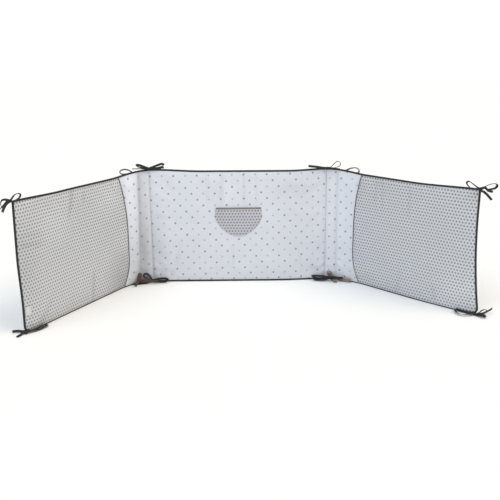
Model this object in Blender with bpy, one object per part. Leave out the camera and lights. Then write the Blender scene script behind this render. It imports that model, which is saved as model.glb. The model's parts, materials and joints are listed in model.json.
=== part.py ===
"""Crib bumper: a padded cot surround standing in an open U.

Three padded panels with stitched fold lines at both corners, charcoal binding
round the whole rim, a half-moon pocket, a blank side label and flat cloth ties.
Metres, +Z up.  The origin is on the floor under the middle of the centre panel,
+X runs along that panel and the two side panels come forward, towards -Y.
"""
import math

import bmesh
import bpy
from mathutils import Matrix, Vector

# ---- whole bumper -------------------------------------------------------------
LENGTH = 1.80                 # along the bottom edge, end to end
HEIGHT = 0.404                # floor to the top of the binding
START_HEADING = 60.3          # degrees, direction of the left panel seen from above
PLAN_STEPS = 1800             # steps of the plan curve
GAP = 0.0003                  # between touching pieces

# where the bumper turns, seen from above, by distance along its bottom edge
BENDS = (
    # where,               start, end,   turn in degrees
    ("left corner",        0.433, 0.650, -60.3),
    ("right of centre",    1.000, 1.190, 8.7),
    ("right corner",       1.122, 1.399, -56.6),
    ("right panel",        1.500, 1.700, 4.4),
)

# the top edge stands up at the ties and sags between them
RIM = (
    # where,               along, rise,    lean back
    ("left end",           0.000, 0.0000,  -0.003),
    ("left panel",         0.200, -0.0070, 0.000),
    ("left seam",          0.450, -0.0100, 0.000),
    ("left corner ties",   0.605, 0.0030,  0.006),
    ("centre, left",       0.780, -0.0020, 0.000),
    ("centre, right",      1.080, -0.0020, 0.000),
    ("right corner ties",  1.215, 0.0020,  0.004),
    ("right seam",         1.360, -0.0100, 0.000),
    ("right panel",        1.530, -0.0095, 0.000),
    ("right end",          1.800, -0.0010, 0.004),
)

# slow waves of the padded cloth, out of its own plane, largest at half height
BELLIES = (
    # where,               along, reach, amount forward
    ("left panel",         0.240, 0.230, -0.006),
    ("centre panel",       0.905, 0.300, 0.003),
    ("right panel",        1.580, 0.220, -0.006),
)

# stitched lines across the bumper: along at the bottom and at the top
FOLDS = {
    # name,         bottom, top
    "left outer":   (0.546, 0.558),
    "left inner":   (0.597, 0.594),
    "right inner":  (1.213, 1.209),
    "right outer":  (1.253, 1.247),
}

# arc seams of the grey side panels: straight at the middle, curving away from
# the centre panel towards the top and the bottom
SEAMS = {
    # name,    along at middle, away at top, from height, away at bottom, below height
    "left":    (0.5055, -0.037, 0.190, -0.033, 0.110),
    "right":   (1.3140, 0.028,  0.210, 0.033,  0.130),
}
SEAM_CURVE_TOP = 2.2          # how suddenly the arc turns away, as a power
SEAM_CURVE_BOTTOM = 2.4

END_CORNER_RADIUS = 0.022     # the lower end corners are rounded
LEFT_END_SLANT = 0.0068       # the left end stands out towards its top
LEFT_END_RISE = (0.08, 0.24)  # heights between which it does
RIGHT_END_SLANT = 0.0255      # the right end draws in from the bottom upwards
RIGHT_END_SLANT_HEIGHT = 0.34

# ---- padding ------------------------------------------------------------------
RIM_HALF = 0.0011             # half thickness of the pad inside the binding
SEAM_HALF = 0.0018            # half thickness at a stitched line
CROWN_REACH = 0.065           # how far from a seam the filling is full
RIM_REACH = 0.020             # how far from the rim a stitched line grows to its own thickness
SMALLEST_ROW = 0.002          # the pad's lowest row inside the rounded end corners
PANEL_CROWN = 0.0068          # added half thickness of a large panel
STRIP_CROWN = 0.0045          # added half thickness of a narrow hinge strip
PANEL_ROWS = 12
SHARP_ANGLE = 50              # degrees; edges above it stay sharp

# padded cells from left to right
CELLS = {
    "panel_left": (
        # left line,    right line,    columns, crown
        ("left end",    "left seam",   13,      PANEL_CROWN),
    ),
    "panel_centre": (
        ("left seam",   "left outer",  4,       STRIP_CROWN),
        ("left outer",  "left inner",  4,       STRIP_CROWN),
        ("left inner",  "right inner", 16,      PANEL_CROWN),
        ("right inner", "right outer", 4,       STRIP_CROWN),
        ("right outer", "right seam",  4,       STRIP_CROWN),
    ),
    "panel_right": (
        ("right seam",  "right end",   13,      PANEL_CROWN),
    ),
}

# ---- binding ------------------------------------------------------------------
BINDING_DEPTH = 0.0056        # how far it reaches in from the rim
BINDING_TUCKED = 0.0032       # its front leg at the bottom of the side panels, which hang over it
BINDING_HALF = 0.0026         # half its outside thickness
BINDING_SOLE = 0.0013         # half the flat edge it stands on
BINDING_WALL_IN = 0.0014      # half the width of the slot the pad lies in
BINDING_FOLD = 0.0014         # cloth between the rim and the slot
BINDING_OUTSIDE = (
    # share of half,       share of depth
    (0.93,                 1.00),
    (1.00,                 0.45),
    (0.80,                 0.14),
    (BINDING_SOLE / BINDING_HALF, 0.00),
)
BINDING_JOINTS = (0.575, 1.231)    # where one run of binding ends and the next starts
TUCK_LEFT = 0.545             # the front leg is tucked outside these places
TUCK_RIGHT = 1.270
TUCK_EASE = 0.060             # over this length
TUCK_END_EASE = 0.020         # and it is whole again at the rounded corners
PAD_INSET = BINDING_FOLD + GAP
BINDING_ROOM = 2 * GAP        # between the binding's edge and the pad's free face
FREE_INSET = BINDING_DEPTH + BINDING_ROOM
CORNER_STEPS = 5
SHORTEST_STEP = 0.003         # between two stations of a strip
END_ROOM = 0.004              # no station is nearer than this to a strip's end

# ---- piping -------------------------------------------------------------------
PIPING_RADIUS = 0.0015
PIPING_LIFT = 0.0030          # clear of the two pads that it lies between
PIPING_SIDES = 6
PIPING_STEPS = 18
PIPING_TOP_ROOM = 0.008       # it ends below the sagging top binding
PIPING_PROBE = 0.002          # half the stretch its direction is read from

# ---- pocket and label -----------------------------------------------------------
POCKET_ALONG = 0.9012         # middle of the pocket, along the bumper
POCKET_TOP = 0.2715           # height of its straight top edge
POCKET_TOP_HALF = 0.0786
POCKET_HALF = 0.0825          # half its greatest width
POCKET_SIDE = 0.0285          # depth of the nearly straight sides
POCKET_ARC = 0.0735           # depth of the arc under them
POCKET_ROUND = 1.35           # 2 is an ellipse; less draws the flanks in
POCKET_TIP = 0.9995           # share of the arc's depth where its lowest row lies
POCKET_TIP_HALF = 0.0020      # half the width of that row
POCKET_THICK = 0.0012
POCKET_ROWS = 12
POCKET_COLUMNS = 10
POCKET_BINDING = 0.0045       # height of the binding on its top edge
POCKET_BINDING_THICK = 0.0024
POCKET_BINDING_OVER = 0.0010  # how far it stands above that edge
POCKET_BINDING_SECTION = (
    # share of thickness, share of height down from its top
    (0.0,                 0.00),
    (0.7,                 0.00),
    (1.0,                 0.29),
    (1.0,                 0.86),
    (0.0,                 1.00),
)
LABEL_ALONG = 0.0066          # its edge beside the end binding
LABEL_BOTTOM = 0.0531
LABEL_SIZE = (0.0193, 0.0297)
LABEL_THICK = 0.0010
LABEL_STEPS = 3

# ---- ties -----------------------------------------------------------------------
TIE_THICK = 0.0018
TIE_WIDTH = 0.0080
BROWN_WIDTH = 0.0125
TIE_STEP = 0.009              # length of one step along a strand
TIE_CLEARANCE = 0.0010        # to the floor, the rim and the padded faces
RIM_ZONE = 0.004              # a tape this near the rim's top, over the binding, lies on it
END_ZONE = 0.003              # a tape farther than this past an end hangs free of it
FACING_LEAST = 0.3            # below this a tape's direction faces the viewer
NEAREST_STEP = 4              # plan steps between the places tried for the nearest one
STRAND_LIFT = 0.0003          # each strand of a bow lies a little over the one before
KNOT_SIZE = (0.0055, 0.0045, 0.0042)
KNOT_RINGS = 6
KNOT_SEGMENTS = 8
MM = 0.001

# Each tie: where its knot is (along, height, across), the heading of its own right
# hand in degrees, the width of the tape, and its strands.  A strand is its points
# in millimetres from the knot (right, up, near), and its roll at both ends in
# degrees: 0 shows the tape's full width from the front, 90 shows its edge.
TIES = {
    "tie_left_top": {
        "knot": (-0.0132, 0.4045, 0.0010), "heading": 0, "width": TIE_WIDTH,
        "strands": {
            "raised loop": ((0, 0, 1), (6, 8, 2), (13, 17, 3), (24, 23, 4), (31, 21, 5),
                            (31, 15, 6), (25, 8, 6), (14, 2, 4), (1, -1, 2), 60, 110),
            "hanging loop": ((0, 1, 0), (-8, 4, 2), (-17, 5, 3), (-24, 1, 4), (-26, -10, 5),
                             (-23, -17, 4), (-15, -17, 2), (-9, -8, 1), (-1, -1, 0), 50, 110),
            "long tail": ((0, 0, 0), (-9, -6, 6), (-17, -18, 7), (-22, -30, 8), 10, 30),
            "short tail": ((-1, 0, -1), (-9, 0, -5), (-20, -11, -6), (-31, -23, -6), 40, 60),
        },
    },
    "tie_left_bottom": {
        "knot": (0.0083, 0.0094, 0.0078), "heading": 0, "width": TIE_WIDTH,
        "strands": {
            "long loop": ((0, 0, 0), (6, -2, -9), (18, -6, -29), (28, -4, -48), (36, -5, -58),
                          (43, -4, -51), (38, -4, -42), (28, -6, -27), (14, -3, -10), (-1, 1, 0),
                          56, 88),
            "side tail": ((0, 0, 0), (-9, -1, 3), (-17, -3, 1), (-29, -2, -2), (-48, -3, -1), 40, 12),
            "front tail": ((0, 0, 0), (-8, -5, 5), (-15, -6, 8), (-20, -6, 19), (-26, -7, 31), 52, 71),
        },
    },
    "tie_right_top": {
        "knot": (1.7710, 0.4034, 0.0078), "heading": 0, "width": TIE_WIDTH,
        "strands": {
            "inner loop": ((0, 1, 0), (-11, 8, 3), (-26, 19, 4), (-34, 24, 5), (-42, 21, 6),
                           (-39, 14, 6), (-33, 7, 7), (-20, 1, 9), (1, -1, 2), 61, 115),
            "outer loop": ((0, 1, 0), (15, 6, 2), (32, 13, 0), (46, 15, 0), (54, 13, 0), (56, 7, -3),
                           (50, 1, -1), (39, -2, -2), (20, -3, 1), (-1, -2, 1), 56, 106),
            "level tail": ((0, 0, 0), (13, -1, 5), (26, -5, 5), (41, -9, 5), 14, 14),
            "falling tail": ((0, 0, 0), (10, -8, -1), (25, -17, -3), (43, -36, -4), 25, 38),
        },
    },
    "tie_right_bottom": {
        "knot": (1.7909, 0.0074, 0.0078), "heading": 0, "width": TIE_WIDTH,
        "strands": {
            "long loop": ((0, 0, 0), (-11, -1, -9), (-23, -2, -23), (-38, -2, -39), (-47, -2, -38),
                          (-50, -2, -26), (-47, -2, -8), (-34, -2, 5), (-14, -1, 4), (0, 1, 0), 51, 84),
            "raised loop": ((0, 0, 0), (8, 1, 4), (17, 4, 2), (29, 9, -4), (38, 10, -6), (43, 6, -5),
                            (34, 2, 0), (18, -1, 3), (-1, -2, -1), 64, 110),
            "front loop": ((0, 0, 0), (9, -3, 9), (16, -4, 20), (23, -4, 29), (29, -3, 26),
                           (27, -2, 14), (14, -2, 6), (1, -1, -1), 64, 89),
            "side tail": ((0, 0, 0), (14, 0, 6), (30, 1, 2), (48, 3, -10), (67, 5, -26), 32, 14),
        },
    },
    "tie_corner_left_top": {
        "knot": (0.5937, 0.4094, 0.0078), "heading": 10, "width": TIE_WIDTH,
        "strands": {
            "left loop": ((0, 1, 1), (-12, 6, 3), (-24, 11, 4), (-35, 15, 3), (-43, 13, -1),
                          (-38, 8, -5), (-26, 4, -6), (-12, 2, -3), (0, 1, -1), 0, 10),
            "right loop": ((0, 1, 1), (14, 6, 3), (30, 12, 4), (44, 16, 3), (52, 12, -1),
                           (46, 7, -5), (30, 3, -6), (14, 2, -3), (0, 1, -1), 0, 10),
            "left tail": ((0, 0, 0), (-17, 0, 0), (-37, 1, -2), (-57, 1, -2), 84, 88),
            "right tail": ((0, 0, 0), (16, 0, 0), (34, 1, -1), (52, 2, -1), 15, 10),
        },
    },
    "tie_corner_left_bottom": {
        "knot": (0.5874, 0.0089, 0.0078), "heading": 12, "width": TIE_WIDTH,
        "strands": {
            "standing loop": ((0, 1, 1), (0, 7, 3), (-5, 16, 5), (-11, 24, 6), (-19, 28, 6),
                              (-26, 26, 6), (-27, 18, 6), (-21, 11, 6), (-10, 6, 4), (2, 0, 1), 52, 80),
            "long loop": ((0, 0, 0), (12, 2, 2), (32, 5, 4), (50, 5, 7), (59, 1, 12), (51, -3, 19),
                          (34, -4, 18), (16, -3, 10), (0, 2, 0), 13, 31),
            "left tail": ((0, 0, 0), (-12, -5, 6), (-28, -7, 10), (-46, -7, 13), (-64, -8, 15), 80, 84),
        },
    },
    "tie_corner_right_top": {
        "knot": (1.2183, 0.4069, 0.0078), "heading": 0, "width": TIE_WIDTH,
        "strands": {
            "raised loop": ((0, 0, 0), (7, 5, 0), (15, 14, 0), (24, 22, 0), (32, 23, 0), (38, 18, 0),
                            (38, 10, 0), (30, 4, 1), (15, 1, 1), (0, 0, 1), 82, 98),
            "left tail": ((0, 0, 0), (-22, 1, 1), (-47, 5, 2), (-73, 8, 3), 15, 5),
            "right tail": ((0, 0, 0), (12, 0, 5), (24, -1, 9), (35, -2, 14), 40, 50),
        },
    },
    "tie_corner_right_bottom": {
        "knot": (1.2315, 0.0146, 0.0235), "heading": -9, "width": TIE_WIDTH,
        "strands": {
            "left loop": ((0, 1, 2), (-14, 4, 5), (-34, 6, 6), (-54, 5, 4), (-63, 1, 0),
                          (-56, -3, -3), (-36, -4, -2), (-18, -3, -1), (0, 0, 0), 5, 15),
            "right loop": ((0, 1, 1), (12, 2, 4), (28, 3, 8), (40, 2, 9), (48, 1, 5),
                           (40, 0, 1), (24, 0, -1), (12, 0, -1), (0, 0, 0), 5, 15),
            "left tail": ((0, 0, 0), (-10, -6, 4), (-24, -9, 5), (-42, -9, 5), (-56, -9, 4), 60, 80),
            "low tail": ((0, 0, 0), (7, -6, 8), (16, -10, 14), (27, -10, 20), 60, 80),
        },
    },
    "tie_brown_left_top": {
        "knot": (0.5417, 0.3960, -0.0095), "heading": 10, "width": BROWN_WIDTH,
        "strands": {
            "loop": ((0, 1, 0), (-8, 7, -1), (-18, 12, -1), (-30, 13, 0), (-39, 10, 0), (-44, 4, 0),
                     (-40, -1, 0), (-30, -4, -1), (-16, -3, -2), (0, -1, -2), 84, 96),
            "tail": ((0, 0, 0), (3, -5, -2), (5, -13, -3), (6, -23, -3), (6, -34, -3), 0, 0),
        },
    },
    "tie_brown_left_bottom": {
        "knot": (0.5389, 0.0104, 0.0078), "heading": 24, "width": BROWN_WIDTH,
        "strands": {
            "standing loop": ((0, 1, 2), (-1, 9, 6), (1, 18, 8), (4, 26, 8), (6, 31, 4), (4, 27, 0),
                              (1, 18, -1), (0, 9, -1), (1, 1, 0), -12, 6),
            "long tail": ((0, 0, 0), (14, 1, 9), (30, 2, 17), (46, 2, 23), (61, -1, 26), 17, 24),
            "front tail": ((0, 0, 0), (-6, 0, 8), (-12, -1, 15), (-17, -4, 21), (-22, -8, 29), 0, 4),
        },
    },
    "tie_brown_right_top": {
        "knot": (1.2738, 0.3960, -0.0095), "heading": -8, "width": BROWN_WIDTH,
        "strands": {
            "loop": ((0, 1, 0), (9, 7, -1), (22, 11, -1), (34, 12, 0), (43, 7, 0), (46, -1, 0),
                     (41, -6, 0), (30, -6, -1), (16, -2, -2), (0, -1, -2), 62, 92),
            "tail": ((0, 0, 0), (-3, -5, -2), (-5, -13, -3), (-6, -23, -3), (-6, -34, -3), 0, 0),
        },
    },
    "tie_brown_right_bottom": {
        "knot": (1.2361, 0.0135, 0.0092), "heading": -14, "width": BROWN_WIDTH,
        "strands": {
            "standing loop": ((0, 1, 0), (3, 6, 1), (2, 13, 3), (-3, 18, 4), (-9, 18, 4),
                              (-13, 14, 4), (-12, 8, 2), (-6, 4, 1), (0, 0, 0), 80, 90),
            "tail": ((0, 0, 0), (14, -2, 1), (28, -5, 4), (44, -6, 10), (58, -6, 14), (72, -6, 18), 10, 5),
        },
    },
}

# ---- finishes ---------------------------------------------------------------------
FINISHES = {
    # name,          red,   green, blue,  roughness
    "grey print":    (0.50, 0.50, 0.52, 0.92),
    "white print":   (0.80, 0.82, 0.86, 0.92),
    "charcoal":      (0.045, 0.045, 0.048, 0.85),
    "dark piping":   (0.090, 0.075, 0.070, 0.85),
    "brown":         (0.230, 0.150, 0.120, 0.85),
    "label":         (0.820, 0.830, 0.850, 0.70),
}


# ---- the bumper's middle surface -----------------------------------------------------
def ease(value):
    """A smooth step from 0 to 1."""
    value = min(max(value, 0.0), 1.0)
    return value * value * (3 - 2 * value)


def heading(along):
    """The direction of the bumper seen from above, in radians."""
    turned = sum(turn * ease((along - start) / (end - start)) for _, start, end, turn in BENDS)
    return math.radians(START_HEADING + turned)


def plan_curve():
    """The bottom edge as points from above, with the middle of the bumper at the origin."""
    step = LENGTH / PLAN_STEPS
    points = [Vector((0, 0))]
    for index in range(PLAN_STEPS):
        direction = heading((index + 0.5) * step)
        points.append(points[-1] + step * Vector((math.cos(direction), math.sin(direction))))
    middle = points[PLAN_STEPS // 2]
    return [point - middle for point in points]


PLAN = plan_curve()


def plan(along):
    """A point of the bottom edge from above; past the ends it runs on straight."""
    reached = along / LENGTH * PLAN_STEPS
    index = min(max(int(reached), 0), PLAN_STEPS - 1)
    return PLAN[index].lerp(PLAN[index + 1], reached - index)


def rim(along):
    """How much the top edge stands up, and how far it leans back."""
    rows = [row[1:] for row in RIM]
    for (start, *low), (end, *high) in zip(rows, rows[1:]):
        if along <= end:
            part = ease((along - start) / (end - start))
            return [a + (b - a) * part for a, b in zip(low, high)]
    return rows[-1][1:]


def top(along):
    return HEIGHT + rim(along)[0]


def front(along):
    """The level direction that the padded face points in, into the U."""
    return Vector((math.sin(heading(along)), -math.cos(heading(along)), 0))


def middle(along, height):
    """A point of the bumper's middle surface."""
    part = height / HEIGHT
    forward = -rim(along)[1] * part * part
    for _, centre, reach, amount in BELLIES:
        away = min(abs(along - centre) / reach, 1.0)
        forward += amount * (1 - ease(away)) * math.sin(math.pi * min(part, 1.0))
    flat = plan(along)
    return Vector((flat.x, flat.y, height)) + forward * front(along)


def place(along, height, across):
    """A point at a distance across, in front of the middle surface."""
    return middle(along, height) + across * front(along)


# ---- the lines that divide it ----------------------------------------------------------
def line(name, height, inset=0.0):
    """Where a named line is along the bumper, at a height."""
    if name == "left end":
        low, high = LEFT_END_RISE
        return inset - LEFT_END_SLANT * ease((height - low) / (high - low))
    if name == "right end":
        share = (height - END_CORNER_RADIUS) / (RIGHT_END_SLANT_HEIGHT - END_CORNER_RADIUS)
        share = min(max(share, 0.0), 1.0)
        return LENGTH - RIGHT_END_SLANT * share * (2 - share) - inset
    if name in FOLDS:
        bottom, high = FOLDS[name]
        return bottom + (high - bottom) * height / HEIGHT
    straight, away_top, above, away_bottom, below = SEAMS[name.split()[0]]
    up = max(height - above, 0.0) / (HEIGHT - above)
    down = max(below - height, 0.0) / below
    return straight + away_top * up ** SEAM_CURVE_TOP + away_bottom * down ** SEAM_CURVE_BOTTOM


def bottom(along, inset):
    """Height of the pad's lower edge, with its rounded end corners."""
    from_end = min(along, LENGTH - along)
    if from_end >= END_CORNER_RADIUS:
        return inset
    reach = END_CORNER_RADIUS - inset
    sideways = END_CORNER_RADIUS - from_end
    return END_CORNER_RADIUS - math.sqrt(max(reach * reach - sideways * sideways, 0.0))


def bottom_leg(along, facing):
    """Depth of the bottom binding's front (facing 1) or back (facing -1) leg."""
    if facing < 0:
        return BINDING_DEPTH
    beside = max(ease((TUCK_LEFT - along) / TUCK_EASE), ease((along - TUCK_RIGHT) / TUCK_EASE))
    from_end = min(along, LENGTH - along)
    tucked = beside * ease((from_end - END_CORNER_RADIUS) / TUCK_END_EASE)
    return BINDING_DEPTH + (BINDING_TUCKED - BINDING_DEPTH) * tucked


def heights(along, facing):
    """The row heights of a pad's face, from inside the bottom binding to inside the top one."""
    low = bottom(along, PAD_INSET)
    free = bottom_leg(along, facing) + BINDING_ROOM
    free_low = max(bottom(along, free), low + SMALLEST_ROW)
    free_high = top(along) - FREE_INSET
    rows = [low]
    for index in range(PANEL_ROWS + 1):
        part = (1 - math.cos(math.pi * index / PANEL_ROWS)) / 2
        rows.append(free_low + (free_high - free_low) * part)
    return rows + [top(along) - PAD_INSET]


def swell(distance, reach):
    """Fullness of the filling at a distance from a seam: 0 at it, 1 past its reach."""
    part = min(max(distance / reach, 0.0), 1.0)
    return math.sqrt(1 - (1 - part) ** 2)


def cell_lines(cell, height):
    """The places along the bumper of one cell's columns, at a height."""
    left, right, columns, _ = cell
    start, end = line(left, height), line(right, height)
    lead, tail = [], []
    if left == "left end":
        lead, start = [line(left, height, PAD_INSET)], line(left, height, FREE_INSET)
    if right == "right end":
        tail, end = [line(right, height, PAD_INSET)], line(right, height, FREE_INSET)
    inner = [start + (end - start) * (1 - math.cos(math.pi * k / columns)) / 2
             for k in range(columns + 1)]
    return lead + inner + tail


def half_thickness(cell, along, height, facing=1):
    """How far a pad's front or back face stands from the middle surface."""
    left, right, _, crown = cell
    sides = []
    edges = []
    for name, sign in ((left, 1), (right, -1)):
        if name in ("left end", "right end"):
            sides.append(sign * (along - line(name, height, FREE_INSET)))
            edges.append(RIM_HALF)
        else:
            sides.append(sign * (along - line(name, height)))
            edges.append(SEAM_HALF)
    width = line(right, height) - line(left, height)
    across = min(sides)
    edge = edges[sides.index(across)]
    rows = heights(along, facing)
    upright = min(height - rows[1], rows[-2] - height)
    full = swell(across, min(CROWN_REACH, width / 2)) * swell(upright, CROWN_REACH)
    near_rim = 1 - swell(upright, RIM_REACH)
    return edge + (RIM_HALF - edge) * near_rim + crown * full


# ---- mesh helpers -------------------------------------------------------------------------
def finish(name):
    material = bpy.data.materials.get(name)
    if material is None:
        material = bpy.data.materials.new(name)
        material.use_nodes = True
        red, green, blue, rough = FINISHES[name]
        shader = material.node_tree.nodes["Principled BSDF"]
        shader.inputs["Base Color"].default_value = (red, green, blue, 1)
        shader.inputs["Roughness"].default_value = rough
        shader.inputs["Metallic"].default_value = 0.0
    return material


def add_object(name, mesh_points, faces, material):
    """An object with its origin at its own middle, closed and with its faces outwards."""
    centre = sum(mesh_points, Vector()) / len(mesh_points)
    shape = bmesh.new()
    corners = [shape.verts.new(point - centre) for point in mesh_points]
    for face in faces:
        shape.faces.new([corners[index] for index in face])
    bmesh.ops.recalc_face_normals(shape, faces=shape.faces)
    bmesh.ops.triangulate(shape, faces=shape.faces)
    mesh = bpy.data.meshes.new(name)
    shape.to_mesh(mesh)
    shape.free()
    mesh.shade_smooth()
    mesh.set_sharp_from_angle(angle=math.radians(SHARP_ANGLE))
    mesh.materials.append(finish(material))
    thing = bpy.data.objects.new(name, mesh)
    thing.location = centre
    bpy.context.scene.collection.objects.link(thing)
    return thing


def add_slab(name, near_grid, far_grid, material):
    """A closed slab between two grids of points with the same rows and columns."""
    rows, columns = len(near_grid), len(near_grid[0])
    size = rows * columns
    points = [point for row in near_grid + far_grid for point in row]
    faces = []
    for r in range(rows - 1):
        for c in range(columns - 1):
            corner = r * columns + c
            quad = (corner, corner + 1, corner + columns + 1, corner + columns)
            faces.append(quad)
            faces.append(tuple(size + index for index in reversed(quad)))
    loop = [c for c in range(columns)]
    loop += [r * columns + columns - 1 for r in range(1, rows)]
    loop += [(rows - 1) * columns + c for c in range(columns - 2, -1, -1)]
    loop += [r * columns for r in range(rows - 2, 0, -1)]
    for first, second in zip(loop, loop[1:] + loop[:1]):
        faces.append((second, first, size + first, size + second))
    return add_object(name, points, faces, material)


def add_sweep(name, sections, material):
    """A closed bar through a list of cross-sections with the same number of points."""
    count = len(sections[0])
    points = [point for section in sections for point in section]
    faces = [tuple(range(count)), tuple(range(len(points) - 1, len(points) - count - 1, -1))]
    for index in range(len(sections) - 1):
        for corner in range(count):
            a = index * count + corner
            b = index * count + (corner + 1) % count
            faces.append((b, a, a + count, b + count))
    return add_object(name, points, faces, material)


# ---- padded panels --------------------------------------------------------------------------
def row_columns(cells, height):
    """All columns of a panel at a height, with the cell that each belongs to."""
    columns = []
    for cell in cells:
        places = cell_lines(cell, height)
        if columns:
            places = places[1:]
        columns += [(along, cell) for along in places]
    return columns


def grid_place(cells, row, column, facing):
    """Where one point of a panel's grid is: along, height and its cell."""
    height = HEIGHT * row / (PANEL_ROWS + 2)
    for _ in range(3):
        along, cell = row_columns(cells, height)[column]
        height = heights(along, facing)[row]
    return row_columns(cells, height)[column][0], height, cell


def trim_seam(name, along, index, count):
    """Keeps the two pads of an arc seam a little apart."""
    if index == 0 and name != "panel_left":
        return along + GAP / 2
    if index == count - 1 and name != "panel_right":
        return along - GAP / 2
    return along


def panel_face(name, facing):
    """A grid of points on a panel's front or back."""
    cells = CELLS[name]
    columns = len(row_columns(cells, 0))
    grid = []
    for row in range(PANEL_ROWS + 3):
        points = []
        for column in range(columns):
            along, height, cell = grid_place(cells, row, column, facing)
            half = half_thickness(cell, along, height, facing)
            along = trim_seam(name, along, column, columns)
            points.append(place(along, height, facing * half))
        grid.append(points)
    return grid


def build_panel(name, material):
    add_slab(name, panel_face(name, 1), panel_face(name, -1), material)


# ---- binding ---------------------------------------------------------------------------------
def binding_profile(front_leg):
    """The folded tape's cross-section as (across, inset) points."""
    back = [(-BINDING_HALF * wide, BINDING_DEPTH * deep) for wide, deep in BINDING_OUTSIDE]
    ahead = [(BINDING_HALF * wide, front_leg * deep) for wide, deep in reversed(BINDING_OUTSIDE)]
    slot = [(BINDING_WALL_IN, front_leg), (BINDING_WALL_IN, BINDING_FOLD),
            (-BINDING_WALL_IN, BINDING_FOLD), (-BINDING_WALL_IN, BINDING_DEPTH)]
    return back + ahead + slot


def build_strip(name, route):
    """A strip of binding along (along, height, inward along, inward up) stations."""
    sections = []
    for along, height, inward, upward in route:
        leg = bottom_leg(along, 1) if upward == 1 else BINDING_DEPTH
        sections.append([place(along + inward * inset, height + upward * inset, across)
                         for across, inset in binding_profile(leg)])
    add_sweep(name, sections, "charcoal")


def rim_stations(low, start, end):
    """Places along the bottom or the top edge between two ends, at the pads' own columns."""
    height = 0.0 if low else HEIGHT
    places = [along for cells in CELLS.values() for along, _ in row_columns(cells, height)]
    spaced = [start]
    for value in sorted(places):
        if start + END_ROOM < value < end - END_ROOM and value - spaced[-1] > SHORTEST_STEP:
            spaced.append(value)
    return spaced + [end]


def corner_route(end_at, sign):
    """The rounded lower corner at one end, from the floor up."""
    route = []
    for index in range(1, CORNER_STEPS + 1):
        angle = math.pi / 2 * index / CORNER_STEPS
        along = end_at + sign * END_CORNER_RADIUS * (1 - math.sin(angle))
        height = END_CORNER_RADIUS * (1 - math.cos(angle))
        route.append((along, height, sign * math.sin(angle), math.cos(angle)))
    return route


def build_bindings():
    joint_left, joint_right = BINDING_JOINTS
    runs = (("left", 0.0, joint_left), ("centre", joint_left, joint_right),
            ("right", joint_right, LENGTH))
    for name, start, end in runs:
        first = start + END_CORNER_RADIUS if name == "left" else start + GAP / 2
        last = end - END_CORNER_RADIUS if name == "right" else end - GAP / 2
        route = [(along, 0.0, 0, 1) for along in rim_stations(True, first, last)]
        if name == "left":
            route = list(reversed(corner_route(0.0, 1))) + route
        if name == "right":
            route += corner_route(LENGTH, -1)
        build_strip("binding_bottom_" + name, route)
    left_top, right_top = line("left end", HEIGHT), line("right end", HEIGHT)
    for name, start, end in runs:
        first = left_top if name == "left" else start + GAP / 2
        last = right_top if name == "right" else end - GAP / 2
        build_strip("binding_top_" + name,
                    [(along, top(along), 0, -1) for along in rim_stations(False, first, last)])
    for name, inward, column in (("left", 1, 0), ("right", -1, -1)):
        along = left_top if name == "left" else right_top
        low = END_CORNER_RADIUS + GAP
        high = top(along) - BINDING_DEPTH - GAP
        levels = [grid_place(CELLS["panel_" + name], row, column, -1)[1]
                  for row in range(PANEL_ROWS + 3)]
        rows = [low] + [value for value in levels if low + END_ROOM < value < high - END_ROOM]
        build_strip("binding_end_" + name,
                    [(line(name + " end", height), height, inward, 0) for height in rows + [high]])


# ---- piping, pocket and label ---------------------------------------------------------------------
def build_piping(name):
    """Piping along the front of one arc seam."""
    seam = name + " seam"
    rise = HEIGHT - PIPING_TOP_ROOM - 2 * FREE_INSET
    sections = []
    for index in range(PIPING_STEPS + 1):
        height = FREE_INSET + rise * index / PIPING_STEPS
        along = line(seam, height)
        centre = place(along, height, PIPING_LIFT + PIPING_RADIUS)
        above, below = height + PIPING_PROBE, height - PIPING_PROBE
        run = (place(line(seam, above), above, 0) - place(line(seam, below), below, 0)).normalized()
        out = front(along)
        side = run.cross(out).normalized()
        sections.append([centre + PIPING_RADIUS * (math.cos(turn) * side + math.sin(turn) * out)
                         for turn in (2 * math.pi * k / PIPING_SIDES for k in range(PIPING_SIDES))])
    add_sweep("piping_" + name, sections, "dark piping")


def pocket_half(depth):
    """Half the pocket's width at a depth below its top edge."""
    if depth <= POCKET_SIDE:
        return POCKET_TOP_HALF + (POCKET_HALF - POCKET_TOP_HALF) * ease(depth / POCKET_SIDE)
    part = min((depth - POCKET_SIDE) / POCKET_ARC, 1.0)
    return POCKET_HALF * math.sqrt(1 - part ** POCKET_ROUND)


def panel_front(along, height):
    """How far the large centre cell's front stands from the middle surface."""
    return half_thickness(CELLS["panel_centre"][2], along, height)


def build_pocket():
    near_grid, far_grid = [], []
    hem = POCKET_BINDING - POCKET_BINDING_OVER
    for row in range(POCKET_ROWS + 1):
        turn = math.pi / 2 * row / POCKET_ROWS
        depth = hem + GAP + (POCKET_SIDE + POCKET_ARC - hem) * math.sin(turn) * POCKET_TIP
        half = max(pocket_half(depth), POCKET_TIP_HALF)
        near_row, far_row = [], []
        for column in range(POCKET_COLUMNS + 1):
            along = POCKET_ALONG + half * (2 * column / POCKET_COLUMNS - 1)
            height = POCKET_TOP - depth
            surface = panel_front(along, height) + 2 * GAP
            far_row.append(place(along, height, surface))
            near_row.append(place(along, height, surface + POCKET_THICK))
        near_grid.append(near_row)
        far_grid.append(far_row)
    add_slab("pocket", near_grid, far_grid, "grey print")
    sections = []
    for column in range(POCKET_COLUMNS + 1):
        along = POCKET_ALONG + POCKET_TOP_HALF * (2 * column / POCKET_COLUMNS - 1)
        section = []
        for lift, down in POCKET_BINDING_SECTION:
            height = POCKET_TOP + POCKET_BINDING_OVER - POCKET_BINDING * down
            surface = panel_front(along, height) + 2 * GAP
            section.append(place(along, height, surface + lift * POCKET_BINDING_THICK))
        sections.append(section)
    add_sweep("pocket_binding", sections, "charcoal")


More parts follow.
